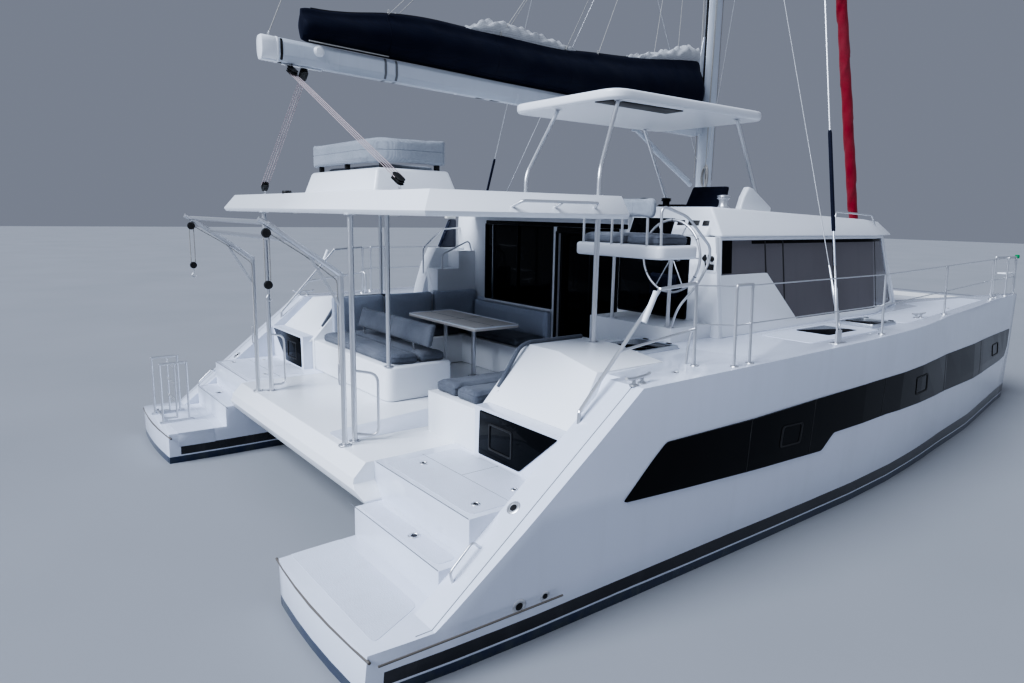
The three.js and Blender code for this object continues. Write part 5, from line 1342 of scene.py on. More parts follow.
        put(smooth(lofted("headsail_roll", 420, 20, point), 40), "headsail", "boat", "furled_sail")
        drum = [(0, -0.06), (0.03, -0.06), (0.034, 0.05), (0.088, 0.062), (0.09, 0.072), (0.045, 0.085), (0.045, 0.135),
                (0.09, 0.145), (0.088, 0.157), (0.03, 0.17), (0.03, 0.34), (0.022, 0.4), (0, 0.4)]
        put(turned("furling_drum", drum, foot, way, 28), "steel")
        length = (Vector(STAY_HEAD) - foot).length
        stay = tubes("forestay_foil", [taut(foot + way * 14.9, foot + way * (length + 0.1))], 0.013)
        swivel = turned("halyard_swivel", [(0, 0), (0.028, 0), (0.034, 0.02), (0.034, 0.13), (0.028, 0.15), (0, 0.15)],
                        foot + way * 15.35, way, 16)
        put(joined("forestay_top", stay, swivel), "steel")


# Roofs, helm and cabin fittings


def ring_on(name, at, normal, radius, height=0.008):
    """A round flange with a raised lip and a dished middle."""
    rows = [(0, 0), (1, 0), (1, 0.5), (0.88, 1), (0.7, 1), (0.62, 0.45), (0, 0.45)]
    return turned(name, [(radius * reach, height * rise) for reach, rise in rows], at, normal, 24)


def rings(ends, radius, height=0.008):
    """A flange at each place, facing its way."""
    return [ring_on(f"ring_{at}", place, way, radius, height) for at, (place, way) in enumerate(ends)]


def winch(name, at, size=1.0):
    """A self-tailing winch drum."""
    rows = [(0, 0), (0.075, 0), (0.078, 0.012), (0.06, 0.022), (0.048, 0.04), (0.043, 0.075), (0.046, 0.1),
            (0.064, 0.108), (0.066, 0.116), (0.054, 0.12), (0.054, 0.126), (0.066, 0.13), (0.064, 0.14), (0.03, 0.148),
            (0.018, 0.15), (0.018, 0.144), (0, 0.144)]
    return turned(name, [(radius * size, height * size) for radius, height in rows], at, steps=28)


def frame_ring(name, plane, outline, width, low, high, corner=0.03, bevel=0.003):
    """A frame of even width round an outline, inside it."""
    middle = [sum(values) / len(outline) for values in zip(*outline)]
    inner = [tuple(value + math.copysign(width, centre - value) for value, centre in zip(point, middle))
             for point in outline]
    ring = slab(name, plane, rounded(outline, corner, 4), low, high, bevel, 2)
    return carve(ring, slab(f"{name}_hole", plane, rounded(inner, corner * 0.7, 4), low - 0.05, high + 0.05))


def mirrored(*runs):
    """Each run on the starboard side and then to port."""
    return [[(x, side * y, z) for x, y, z in run] for side in (-1, 1) for run in runs]


# x, y and foot z of each roof post
POSTS = [(-5.3, -1.13, 0.93), (-4.385, -0.06, 1.33), (-3.38, -2.25, 1.85), (-5.3, 1.13, 0.93), (-3.29, 2.25, 1.85)]
ROOF_LAMPS = [(-4.9, -1.2), (-4.9, 1.2), (-3.7, -0.6), (-3.7, 1.2), (-2.6, -0.2), (-2.6, 1.4)]
ROOF_UNDER_Z, ROOF_TOP_Z, HELM_TOP_UNDER_Z, BROW_Z = 3.0, 3.2, 4.12, 3.095
# x and y of the foot and of the head of each leg of the helm top: two from the roof, two from the brow
AFT_LEGS = [((-3.5, -2.37), (-2.87, -1.94)), ((-3.5, -1.33), (-2.87, -1.06))]
FORE_LEGS = [((-0.386, -1.94), (-0.97, -1.94)), ((-0.386, -0.56), (-0.97, -0.56))]
BULKHEAD_FACE_X = -1.86


class CATAMARAN_OT_roofs(bpy.types.Operator):
    """Cockpit roof on its steel posts, the lounge on it, the helm top and its tubes"""
    bl_idname = "catamaran.roofs"
    bl_label = "Roofs"

    def execute(self, context):
        roof = copy_of(frame["nodes"]["cockpit_roof"], "cockpit_roof_moulding")
        merged(roof, SAME)
        bpy.ops.mesh.select_all(action="SELECT")
        bpy.ops.mesh.bisect(plane_co=(0, 0, ROOF_UNDER_Z - 0.0002), plane_no=UP, clear_inner=True, use_fill=True)
        bpy.ops.mesh.select_all(action="SELECT")
        bpy.ops.mesh.dissolve_limited(angle_limit=math.radians(1))
        leave()
        put(smooth(bevelled(roof, 0.02, 4, 20), 38), "gelcoat", "boat", "cockpit_roof")
        posts = [[(x, y, foot), (x, y, ROOF_UNDER_Z + 0.01)] for x, y, foot in POSTS]
        put(tubes("roof_posts", posts, 0.0255, sides=6), "steel")
        ends = [end for x, y, foot in POSTS for end in (((x, y, foot), UP), ((x, y, ROOF_UNDER_Z), DOWN))]
        put(joined("post_flanges", *rings(ends, 0.055)), "steel")
        rails = mirrored([(-4.57, 2.5, 3.08), (-4.53, 2.6, 3.13), (-3.74, 2.62, 3.13), (-3.7, 2.52, 3.08)],
                         [(-4.14, 2.5, 3.08), (-4.14, 2.61, 3.12)])
        put(tubes("roof_handrails", rails, 0.0125, 0.03, steps=6), "steel")
        put(joined("roof_lamps", *rings([((x, y, ROOF_UNDER_Z), DOWN) for x, y in ROOF_LAMPS], 0.05, 0.01)), "lamp")
        dark_lines = mirrored([(-5.15, 0.85, 2.9995), (-2.2, 0.85, 2.9995)])
        put(tubes("roof_grooves", dark_lines, 0.004, sides=1), "pad")
        put(ring_on("roof_sensor", (-5.2, 0.66, ROOF_TOP_Z), UP, 0.05, 0.03), "rubber")
        self.lounge()
        self.helm_top()
        return {"FINISHED"}

    def lounge(self):
        mould("roof_lounge_moulding", "roof_lounge", "gelcoat", 0.035, 4, 20)
        lip = [(*corner, 3.215) for corner in rectangle((-4.99, -0.99), (-4.09, 0.69))]
        put(tubes("lounge_lip", [lip], 0.012, 0.05, closed=True), "gelcoat")
        feet = [block(f"rest_foot_{at}", (x - 0.022, y - 0.022, 3.428), (x + 0.022, y + 0.022, 3.49), 0.005)
                for at, (x, y) in enumerate([(-4.79, -0.76), (-4.865, -0.15), (-4.865, 0.5), (-4.25, -0.86)])]
        put(joined("lounge_rest_feet", *feet), "rubber")
        pad = cushion("lounge_deck_pad", "xy", rectangle((-4.78, -0.76), (-4.2, 0.58)), 3.433, 3.475, [(1, -0.1)],
                      0.06, 0.016, 0.012)
        put(pad, "pale_cushion")

    def helm_top(self):
        mould("helm_top_moulding", "helm_top", "gelcoat", 0.03, 4, 30)
        legs = [[(*foot, ROOF_TOP_Z), (*foot, 3.41), (*head, HELM_TOP_UNDER_Z)] for foot, head in AFT_LEGS]
        legs += [[(*foot, BROW_Z), (*head, HELM_TOP_UNDER_Z)] for foot, head in FORE_LEGS]
        heads = rings([((*head, HELM_TOP_UNDER_Z + 0.005), DOWN) for foot, head in AFT_LEGS + FORE_LEGS], 0.045)
        put(joined("helm_top_tubes", tubes("leg_tubes", legs, 0.02, 0.1, sides=5, steps=7), *heads), "steel", "boat",
            "helm_top_frame")
        hatch = rounded([(-2.97, -1.71), (-2.93, -1.93), (-1.88, -1.93), (-1.86, -1.67)], 0.02)
        put(slab("helm_top_hatch", "xy", hatch, 4.117, 4.131, 0.003), "rubber", slot="dark_glass")
        skylight = rounded(rectangle((-2.2, -1.75), (-1.0, -0.95)), 0.06)
        put(slab("helm_top_skylight", "xy", skylight, 4.221, 4.228, 0.003), "glass")
        feet = [((*foot, ROOF_TOP_Z - 0.002), UP) for foot, head in AFT_LEGS]
        feet += [((*foot, BROW_Z), UP) for foot, head in FORE_LEGS]
        put(joined("helm_top_feet", *rings(feet, 0.045)), "steel")


WHEEL_CENTRE, WHEEL_RADIUS, WHEEL_TUBE, SPOKES = (-1.99, -1.96, 2.61), 0.385, 0.0145, 6
HELM_SOLE_Z = 1.93


class CATAMARAN_OT_helm(bpy.types.Operator):
    """Helm seat, wheel, throttle, winches and covered instruments"""
    bl_idname = "catamaran.helm"
    bl_label = "Helm"

    def execute(self, context):
        seat = rounded(rectangle((-2.96, -2.65), (-2.4, -1.48)), 0.08, 6)
        put(slab("helm_seat_moulding", "xy", seat, 2.63, 2.76, 0.03, 4), "gelcoat", "boat", "helm_seat")
        back = cushion("helm_backrest", "yz", rectangle((-2.55, 3.01), (-2.05, 3.2)), -2.978, -2.912,
                       [(0, -2.945), (1, -2.3)], 0.06, 0.022, 0.012)
        put(back, "pale_cushion")
        legs = [[(-2.44, y, HELM_SOLE_Z), (-2.44, y, 2.64)] for y in (-2.34, -1.56)]
        rests = [[(-2.94, y, 2.75), (-2.945, y, 3.05)] for y in (-2.46, -2.14)]
        rests.append([(-2.94, -1.6, 2.75), (-2.94, -1.6, 3.16), (-2.94, -2.0, 3.16), (-2.94, -2.0, 2.75)])
        loop = [(-2.9, -2.6, 2.74), (-2.92, -2.6, 3.13), (-2.54, -2.6, 3.03), (-2.17, -2.6, 2.74), (-2.16, -2.59, 2.6),
                (-2.27, -2.56, 2.38), (-2.46, -2.48, 2.15), (-2.46, -2.4, HELM_SOLE_Z)]
        put(tubes("helm_seat_legs", legs, 0.02, sides=4), "steel")
        put(tubes("helm_rails", [*rests, loop], 0.0135, 0.09, sides=4, steps=7), "steel")
        feet = [((x, y, HELM_SOLE_Z), UP) for x, y in ((-2.44, -2.34), (-2.44, -1.56), (-2.46, -2.4))]
        put(joined("helm_flanges", *rings(feet, 0.045)), "steel")
        self.wheel()
        self.gear()
        self.console()
        return {"FINISHED"}

    def wheel(self):
        """The wheel with its six spokes, its hub and the marks wrapped round its rim."""
        centre = Vector(WHEEL_CENTRE)

        def torus(name, **shape):
            deselect()
            bpy.ops.mesh.primitive_torus_add(**shape)
            return settle(named(name))

        def out(share):
            turn = math.tau * share / SPOKES
            return turn, Vector((0, math.cos(turn), math.sin(turn)))

        rim = smooth(torus("wheel_rim", location=centre, rotation=(0, math.pi / 2, 0), major_radius=WHEEL_RADIUS,
                           minor_radius=WHEEL_TUBE, major_segments=72, minor_segments=12), 60)
        spokes = [[tuple(centre + out(at)[1] * 0.05 + Vector((0.015, 0, 0))), tuple(centre + out(at)[1] * 0.383)]
                  for at in range(SPOKES)]
        hub = turned("wheel_hub", [(0, -0.025), (0.03, -0.025), (0.052, -0.012), (0.055, 0.01), (0.046, 0.02),
                                   (0.046, 0.085), (0.06, 0.1), (0.06, 0.1295), (0, 0.1295)], centre, (1, 0, 0))
        put(joined("steering_wheel", rim, tubes("wheel_spokes", spokes, 0.008, sides=3), hub), "steel", "wheel_body",
            "helm_wheel")
        wraps = []
        for at in range(SPOKES):
            turn, way = out(at + 0.5)
            wraps.append(torus(f"wrap_{at}", location=centre + way * WHEEL_RADIUS, rotation=(turn, 0, 0),
                               major_radius=WHEEL_TUBE + 0.001, minor_radius=0.0035, major_segments=14,
                               minor_segments=6))
        put(joined("wheel_marks", *wraps), "rubber", "wheel_body")

    def gear(self):
        """Instrument cover, spray wedge, winches and rope clutches on the brow."""
        cover = [(-1.34, 3.07), (-1.14, 3.09), (-1.08, 3.375), (-1.17, 3.375)]
        put(slab("instrument_cover", "xz", cover, -1.99, -1.54, 0.02, 3), "bag")
        wedge = [(-1.18, 3.05), (-0.55, 3.03), (-0.56, 3.16), (-0.94, 3.36), (-1.02, 3.375), (-1.1, 3.26)]
        put(slab("spray_wedge", "xz", wedge, -2.2, -2.12, 0.022, 4), "gelcoat")
        put(winch("primary_winch", (-1.47, -2.2, 3.115), 1.05), "steel")
        drums = [winch(f"winch_{at}", (-1.25, y, 3.118), 0.9) for at, y in enumerate((-0.87, -1.22))]
        put(joined("helm_winches", *drums), "black_metal", slot="steel")
        clutches = [block(f"clutch_{at}", (-1.1, -0.98 - at * 0.05, 3.105), (-0.93, -0.945 - at * 0.05, 3.165), 0.008)
                    for at in range(8)]
        handles = [block(f"clutch_handle_{at}", (-1.08, -0.975 - at * 0.05, 3.16), (-0.9, -0.95 - at * 0.05, 3.178),
                         0.005) for at in range(8)]
        put(joined("rope_clutches", *clutches, *handles), "rubber")

    def console(self):
        """Vents and pane of the dash, plotter, engine controls and the bag for rope tails."""
        face = BULKHEAD_FACE_X
        slope = [(-1.824, 2.942), (-1.803, 2.996), (-1.775, 2.996), (-1.796, 2.942)]
        vents = [slab(f"vent_{at}", "xz", slope, low, high, 0.004)
                 for at, (low, high) in enumerate([(-1.97, -1.875), (-2.165, -2.02), (-2.29, -2.21)])]
        put(joined("dash_vents", *vents), "rubber")
        pane = [(-1.862, 2.845), (-1.783, 3.045), (-1.76, 3.045), (-1.84, 2.845)]
        put(slab("dash_pane", "xz", pane, -1.83, -1.22, 0.003), "glass")
        put(block("plotter", (face - 0.012, -1.86, 2.62), (face + 0.004, -1.56, 2.79), 0.006), "glass")
        knob = [(0, 0), (0.03, 0), (0.03, 0.006), (0.02, 0.01), (0.018, 0.028), (0, 0.03)]
        knobs = [turned(f"knob_{at}", knob, (face, y, 2.606), (-1, 0, 0)) for at, y in enumerate((-2.307, -2.4))]
        plate = block("throttle_plate", (face - 0.012, -2.43, 2.49), (face + 0.002, -2.33, 2.55), 0.004)
        arms = [[(face, y, 2.515), (face - 0.05, y, 2.52), (face - 0.07, y, 2.6)] for y in (-2.41, -2.36)]
        tips = [turned(f"throttle_tip_{at}", [(0, -0.03), (0.011, -0.03), (0.013, 0.0), (0.011, 0.03), (0, 0.03)],
                       (face - 0.07, y, 2.62)) for at, y in enumerate((-2.41, -2.36))]
        put(joined("engine_controls", *knobs, plate, tubes("throttle_arms", arms, 0.007, 0.02), *tips), "rubber")
        rope_bag = cushion("tail_bag", "xz", pad_outline(-1.945, 2.16, -1.875, 2.42), -2.02, -1.62, [], 0.03, 0.02,
                           0.008)
        put(rope_bag, "bag")


# low and high corners, in y and z, of the dark panes on the cockpit's front wall that don't open
WALL_GLASS = [("helm_glass", (-2.09, 1.95), (-1.09, 2.8)), ("header_glass", (-1.195, 2.876), (1.65, 2.93)),
              ("door_header_glass", (-1.06, 2.802), (0.06, 2.873))]
# x, y, side and z of each flush hatch on the coachroof
ROOF_HATCHES = [(0.2, -0.75, 0.62, 3.075), (0.2, 0.75, 0.62, 3.075), (1.5, 0.0, 0.52, 3.045), (-0.9, 0.55, 0.5, 3.115)]


class CATAMARAN_OT_cabin_fittings(bpy.types.Operator):
    """Window frames, door frames, the navy panel, brow handrails and roof hatches"""
    bl_idname = "catamaran.cabin_fittings"
    bl_label = "Cabin fittings"

    def execute(self, context):
        self.front_wall(BULKHEAD_FACE_X)
        self.side_glass()
        self.navy_panel()
        rails = mirrored([(0.72, 2.28, 3.0), (0.78, 2.26, 3.13), (1.88, 2.18, 3.1), (1.96, 2.19, 2.96)])
        rails += mirrored([(2.0, 1.0, 3.02), (2.0, 1.0, 3.09), (1.1, 1.0, 3.12), (1.1, 1.0, 3.05)])
        put(tubes("brow_handrails", rails, 0.0125, 0.05, steps=6), "steel")
        self.hatches()
        return {"FINISHED"}

    def front_wall(self, face):
        """Panes, frames and bars of the cockpit's front wall, and the sliding door's stiles and handle."""
        for name, low, high in WALL_GLASS:
            put(slab(name, "yz", rounded(rectangle(low, high), 0.012, 2), face - 0.005, face - 0.0005, 0.0015), "glass")
        frames = [frame_ring("aft_window_frame", "yz", rectangle((0.13, 1.777), (1.67, 2.89)), 0.022, face - 0.009,
                             face + 0.02),
                  frame_ring("door_frame", "yz", rectangle((-1.075, 0.965), (0.075, 2.82)), 0.026, face - 0.012,
                             face + 0.02, 0.02),
                  frame_ring("helm_glass_frame", "yz", rectangle((-2.11, 1.932), (-1.085, 2.826)), 0.022,
                             face - 0.009, face - 0.0005),
                  block("window_bar", (face - 0.006, 0.88, 1.79), (face + 0.02, 0.905, 2.88), 0.003)]
        put(joined("wall_frames", *frames), "black_metal", slot="dark_glass")
        put(block("window_bright_bar", (face - 0.008, 1.475, 1.79), (face + 0.02, 1.49, 2.88), 0.002), "spar")
        sill = [(-1.885, 1.752), (-1.858, 1.752), (-1.858, 1.782), (-1.875, 1.782)]
        put(slab("window_sill", "xz", sill, 0.14, 1.66, 0.004), "gelcoat")
        grab = [(-1.79, -1.02, 1.85), (-1.815, -1.02, 1.87), (-1.815, -1.02, 2.13), (-1.79, -1.02, 2.15)]
        put(tubes("door_handle", [grab], 0.007, 0.015), "steel", "saloon_door_body")
        seam = block("door_stile", (-1.7945, -0.52, 0.97), (-1.7895, -0.49, 2.8), 0.001)
        edges = frame_ring("door_edge", "yz", rectangle((-1.07, 0.955), (0.07, 2.815)), 0.05, -1.7945, -1.7895, 0.02,
                           0.001)
        put(joined("door_stiles", seam, edges), "black_metal", "saloon_door_body", slot="dark_glass")
        recess = rounded(rectangle((-2.46, 2.46), (-2.26, 2.66)), 0.03)
        put(slab("throttle_recess", "yz", recess, face - 0.006, face - 0.0005, 0.002), "gelcoat")

    def side_glass(self):
        """The darker strip at the aft end, the trim under the brow, the joints between panes and the blinds."""
        strips = [("side_glass_strip", [(-1.74, 2.45), (-1.58, 2.45), (-1.55, 2.79), (-1.715, 2.79)], 0.0025, "glass"),
                  ("side_glass_head", [(-1.2, 2.755), (2.0, 2.755), (1.98, 2.79), (-1.2, 2.79)], 0.0025, "glass")]
        strips += [(f"side_glass_joint_{at}", rectangle((x - 0.011, 1.89), (x + 0.011, 2.79)), 0.003, "rubber")
                   for at, x in enumerate((-0.95, -0.6, 0.49, 1.62))]
        for name, outline, stand, look in strips:
            twins(inlay(name, "side_window_starboard", "xz", outline, -2.7, -2.0, stand), look, "side_glass")
        for side, glass in (("port", 1), ("starboard", -1)):
            drawn = rounded(rectangle((0.62, 1.92), (1.5, 2.75)), 0.05)
            curtain = slab(f"blind_{side}", "xz", drawn, glass * 2.33, glass * 2.335)
            put(curtain, "pale_cushion", slot="gelcoat")

    def navy_panel(self):
        """The bare panel beside the port stairs, with its lamp and the stairs' handrails."""
        outline = rounded([(-2.19, 2.502), (-1.885, 2.502), (-1.885, 2.93), (-1.99, 2.93)], 0.03, 3)
        put(slab("navy_panel", "xz", outline, 2.44, 2.5, 0.006), "panel")
        put(joined("panel_lamp", block("case", (-2.05, 2.435, 2.94), (-1.89, 2.515, 2.985), 0.01),
                   block("lens", (-2.03, 2.425, 2.952), (-1.91, 2.437, 2.973), 0.004)), "lamp")
        rails = [[(-2.42, 1.985, 2.21), (-2.42, 1.985, 2.42), (-1.95, 1.985, 2.62), (-1.9, 1.985, 2.47)],
                 [(-2.56, 2.3, 2.12), (-2.56, 2.3, 2.5), (-2.2, 2.36, 2.78), (-1.9, 2.36, 2.8), (-1.862, 2.36, 2.8)]]
        put(tubes("stair_handrails", rails, 0.0125, 0.06, steps=6), "steel")

    def hatches(self):
        """Flush hatches on the coachroof, with frames and handles."""
        panes, frames, grips = [], [], []
        for at, (x, y, size, z) in enumerate(ROOF_HATCHES):
            low, high = (x - size / 2, y - size / 2), (x + size / 2, y + size / 2)
            inner = rectangle((low[0] + 0.03, low[1] + 0.03), (high[0] - 0.03, high[1] - 0.03))
            panes.append(slab(f"roof_pane_{at}", "xy", rounded(inner, 0.05), z - 0.04, z + 0.026, 0.004))
            frames.append(frame_ring(f"roof_hatch_{at}", "xy", rectangle(low, high), 0.032, z - 0.04, z + 0.03, 0.07,
                                     0.006))
            grips.append(block(f"roof_grip_{at}", (low[0] + 0.05, y - 0.05, z + 0.02),
                               (low[0] + 0.075, y + 0.05, z + 0.042), 0.006))
        put(joined("roof_hatch_panes", *panes), "glass")
        put(joined("roof_hatch_frames", *frames), "spar")
        put(joined("roof_hatch_grips", *grips), "rubber")


# Deck gear


def flush_fitting(name, at, normal, radius):
    """A flanged round fitting with a dark middle."""
    put(ring_on(name, at, normal, radius), "steel")
    middle = Vector(at) + Vector(normal).normalized() * 0.0045
    disc = [(0, 0), (radius * 0.5, 0), (radius * 0.46, 0.003), (0, 0.004)]
    put(turned(f"{name}_middle", disc, tuple(middle), normal, 20), "rubber", slot="steel")


def cleat(name, at, turn, size):
    """A mooring cleat: two feet under a bar with upturned horns."""
    bar = [(-0.14, 0, 0.062), (-0.1, 0, 0.052), (-0.04, 0, 0.05), (0.04, 0, 0.05), (0.1, 0, 0.052), (0.14, 0, 0.062)]
    foot = [(0, 0), (0.034, 0), (0.032, 0.008), (0.015, 0.018), (0.013, 0.045), (0, 0.045)]
    feet = [turned(f"{name}_foot_{end}", foot, (end * 0.05, 0, 0)) for end in (-1, 1)]
    whole = joined(name, tubes(f"{name}_bar", [bar], 0.0115, 0.03, sides=3), *feet)
    whole.data.transform(Matrix.Translation(at) @ Matrix.Rotation(turn, 4, "Z") @ Matrix.Scale(size, 4))
    return whole


# name, place, heading in degrees and size of each starboard cleat
CLEATS = [("stern_cleat", (-4.007, -3.4, 1.76), 8, 1.1), ("spring_cleat", (1.557, -3.06, 1.817), -8, 1.0),
          ("bow_cleat", (5.25, -2.66, 1.829), -6, 1.0)]
# name, place, normal and radius of each flush fitting on the starboard hull
FITTINGS = [
    ("fuel_filler", (-5.071, -3.248, 0.9695), (-0.62, 0, 0.785), 0.055),
    ("engine_outlet", (-5.164, -3.449, 0.336), (-0.03, -0.99, -0.12), 0.06),
    ("drain_outlet", (-4.934, -3.456, 0.341), (-0.03, -0.99, -0.12), 0.042),
    ("deck_drain", (-5.081, -2.009, 0.93), UP, 0.036), ("locker_ring", (-5.206, -2.968, 0.93), UP, 0.036),
    ("locker_ring_fore", (-4.807, -2.91, 0.93), UP, 0.028), ("step_drain", (-5.508, -2.593, 0.62), UP, 0.048),
    ("water_filler", (-3.45, -3.3, 1.762), UP, 0.034), ("waste_filler", (2.95, -2.85, 1.823), UP, 0.034)]
STANCHION_FEET = [
    (-2.87, -3.455, 1.769), (-2.64, -3.45, 1.772), (-0.17, -3.42, 1.807), (2.2, -3.11, 1.8205), (4.86, -2.745, 1.8305),
    (5.65, -2.68, 1.83), (5.65, -2.5, 1.83), (6.29, -2.6, 1.83), (-3.12, -3.23, 1.766)]
STERN_WALL_X, DECK_PANE_TOP_Z = -4.565, 1.806


class CATAMARAN_OT_stern_gear(bpy.types.Operator):
    """Stern windows, step and platform trim, handrails, drains and the rubbing strips"""
    bl_idname = "catamaran.stern_gear"
    bl_label = "Stern gear"

    def execute(self, context):
        pane = rounded([(-2.1, 1.345), (-2.085, 0.945), (-2.665, 0.95), (-3.13, 1.345)], 0.02, 3)
        twins(slab("stern_window", "yz", pane, STERN_WALL_X - 0.008, STERN_WALL_X - 0.0004, 0.002), "glass")
        port = rectangle((-2.57, 1.02), (-2.24, 1.26))
        twins(frame_ring("stern_port", "yz", port, 0.018, STERN_WALL_X - 0.014, STERN_WALL_X - 0.005), "rubber",
              "dark_glass")
        for name, (x, y, z), (ahead, out, up), radius in FITTINGS:
            for side, end in ((1, ""), (-1, "_port")):
                flush_fitting(name + end, (x, y * side, z), (ahead, out * side, up), radius)
        cleats = [cleat(name, at, math.radians(heading), size) for name, at, heading, size in CLEATS]
        twins(joined("cleats", *cleats), "steel")
        rail = [(-5.582, -3.252, 0.555), (-5.61, -3.252, 0.64), (-5.42, -3.248, 0.81), (-5.348, -3.245, 0.74)]
        twins(tubes("bulwark_handrail", [rail], 0.01, 0.04, sides=3, steps=6), "steel")
        hoop = [(-5.3, -1.14, 1.6), (-5.1, -1.22, 1.56), (-5.1, -1.22, 0.97), (-5.29, -1.14, 1.0)]
        twins(tubes("post_hoop", [hoop], 0.0125, 0.09, sides=4, steps=7), "steel")
        self.trim()
        self.davit_gear()
        return {"FINISHED"}

    def trim(self):
        """Rubbing strips round the platform, the recessed line in the bulwark cap, the deck's joints and painted shadow
        lines under the steps' lips.
        """
        edge = [(-6.286, -3.42), (-6.303, -3.2), (-6.322, -2.9), (-6.33, -2.6), (-6.322, -2.3), (-6.303, -2.0),
                (-6.286, -1.8)]
        twins(tubes("stern_strip", [[(x, y, 0.335) for x, y in edge]], 0.011), "grey_trim")
        side = [(-6.25, -3.462, 0.322), (-5.6, -3.481, 0.322), (-4.8, -3.497, 0.322)]
        twins(tubes("side_strip", [side], 0.008), "grey_trim")
        cap = [(-5.95, -3.392), (-4.0, -3.412), (-4.0, -3.404), (-5.95, -3.384)]
        twins(inlay("bulwark_line", "hull_starboard", "xy", cap, 0.3, 1.76, 0.0012), "pad")
        # the two lines along the top edges of the step risers are painted shadow under their raised lips; the other two
        # are joints in the deck
        dark_lines = [[(-5.39, -1.75, 0.93), (-5.39, -3.15, 0.93)], [(-5.64, -1.75, 0.62), (-5.64, -3.15, 0.62)],
                   [(-4.97, -2.42, 0.93), (-4.6, -2.42, 0.93)], [(-4.97, -3.05, 0.93), (-4.97, -1.8, 0.93)]]
        twins(tubes("deck_joints", dark_lines, 0.0032, sides=1), "pad")
        seam = [(-4.328, -2.03, 1.461), (-3.681, -2.651, 1.8195)]
        twins(tubes("coaming_joint", [seam], 0.0035, sides=1), "pad")
        bolster = [(-4.3, -2.0, 1.49), (-4.06, -2.0, 1.835), (-3.96, -2.0, 1.868), (-3.3, -2.0, 1.868)]
        twins(tubes("coaming_piping", [bolster], 0.02, 0.08, sides=3), "cushion")
        latch = [(-3.9, -1.222, 1.25), (-3.9, -1.2, 1.26), (-3.78, -1.2, 1.26), (-3.78, -1.222, 1.25)]
        put(tubes("lounge_latch", [latch], 0.007, 0.015), "rubber", slot="steel")

    def davit_gear(self):
        """Blocks and falls at the davits' heads, their foot flanges and the lifting handles."""
        pieces, shells, lines = [], [], []
        for side in (-1, 1):
            y, inner = side * 1.2, side * 1.2 - side * 0.034
            eye = [(-6.06, y, 2.91), (-6.06, y, 2.87)]
            hook = [(-6.06, y, 2.39), (-6.06, y, 2.34), (-6.085, y, 2.31), (-6.06, y, 2.285), (-6.035, y, 2.3)]
            horn = [(-5.463, y, 1.5), (-5.47, y, 1.52), (-5.47, y, 1.68), (-5.463, y, 1.7)]
            pieces += [ring_on(f"davit_foot_{side}", (-5.43, y, 0.93), UP, 0.06, 0.012),
                       tubes(f"davit_eye_{side}", [eye], 0.006), tubes(f"fall_hook_{side}", [hook], 0.006, 0.02),
                       tubes(f"davit_cleat_{side}", [horn], 0.007, 0.012)]
            for name, lip, radius, z in (("davit_block", 0.035, 0.04, 2.84), ("fall_block", 0.032, 0.036, 2.42)):
                rows = [(0, -0.02), (lip, -0.018), (radius, 0), (lip, 0.018), (0, 0.02)]
                shells.append(turned(f"{name}_{side}", rows, (-6.06, y, z), (0, 1, 0)))
            lines += [[(-6.06 + shift, y, 2.81), (-6.06 + shift, y, 2.45)] for shift in (-0.022, 0.022)]
            lines.append([(-6.04, y, 2.84), (-5.72, y - side * 0.03, 2.64), (-5.45, inner, 2.43), (-5.45, inner, 1.6)])
        put(joined("davit_fittings", *pieces), "steel")
        put(joined("davit_blocks", *shells), "rubber")
        put(tubes("davit_falls", lines, 0.005, 0.04, sides=1), "rope")


# name, node, low and high corners, foot z and top z of each hatch lid
LIDS = [("aft_hatch", "aft_hatch_lid", (-3.195, -2.655), (-2.605, -2.095), 1.776, 1.806),
        ("side_hatch_starboard", "side_hatch_lid_starboard", (0.235, -3.145), (0.795, -2.705), 1.815, 1.842),
        ("side_hatch_port", "side_hatch_lid_port", (0.235, 2.705), (0.795, 3.145), 1.815, 1.842)]


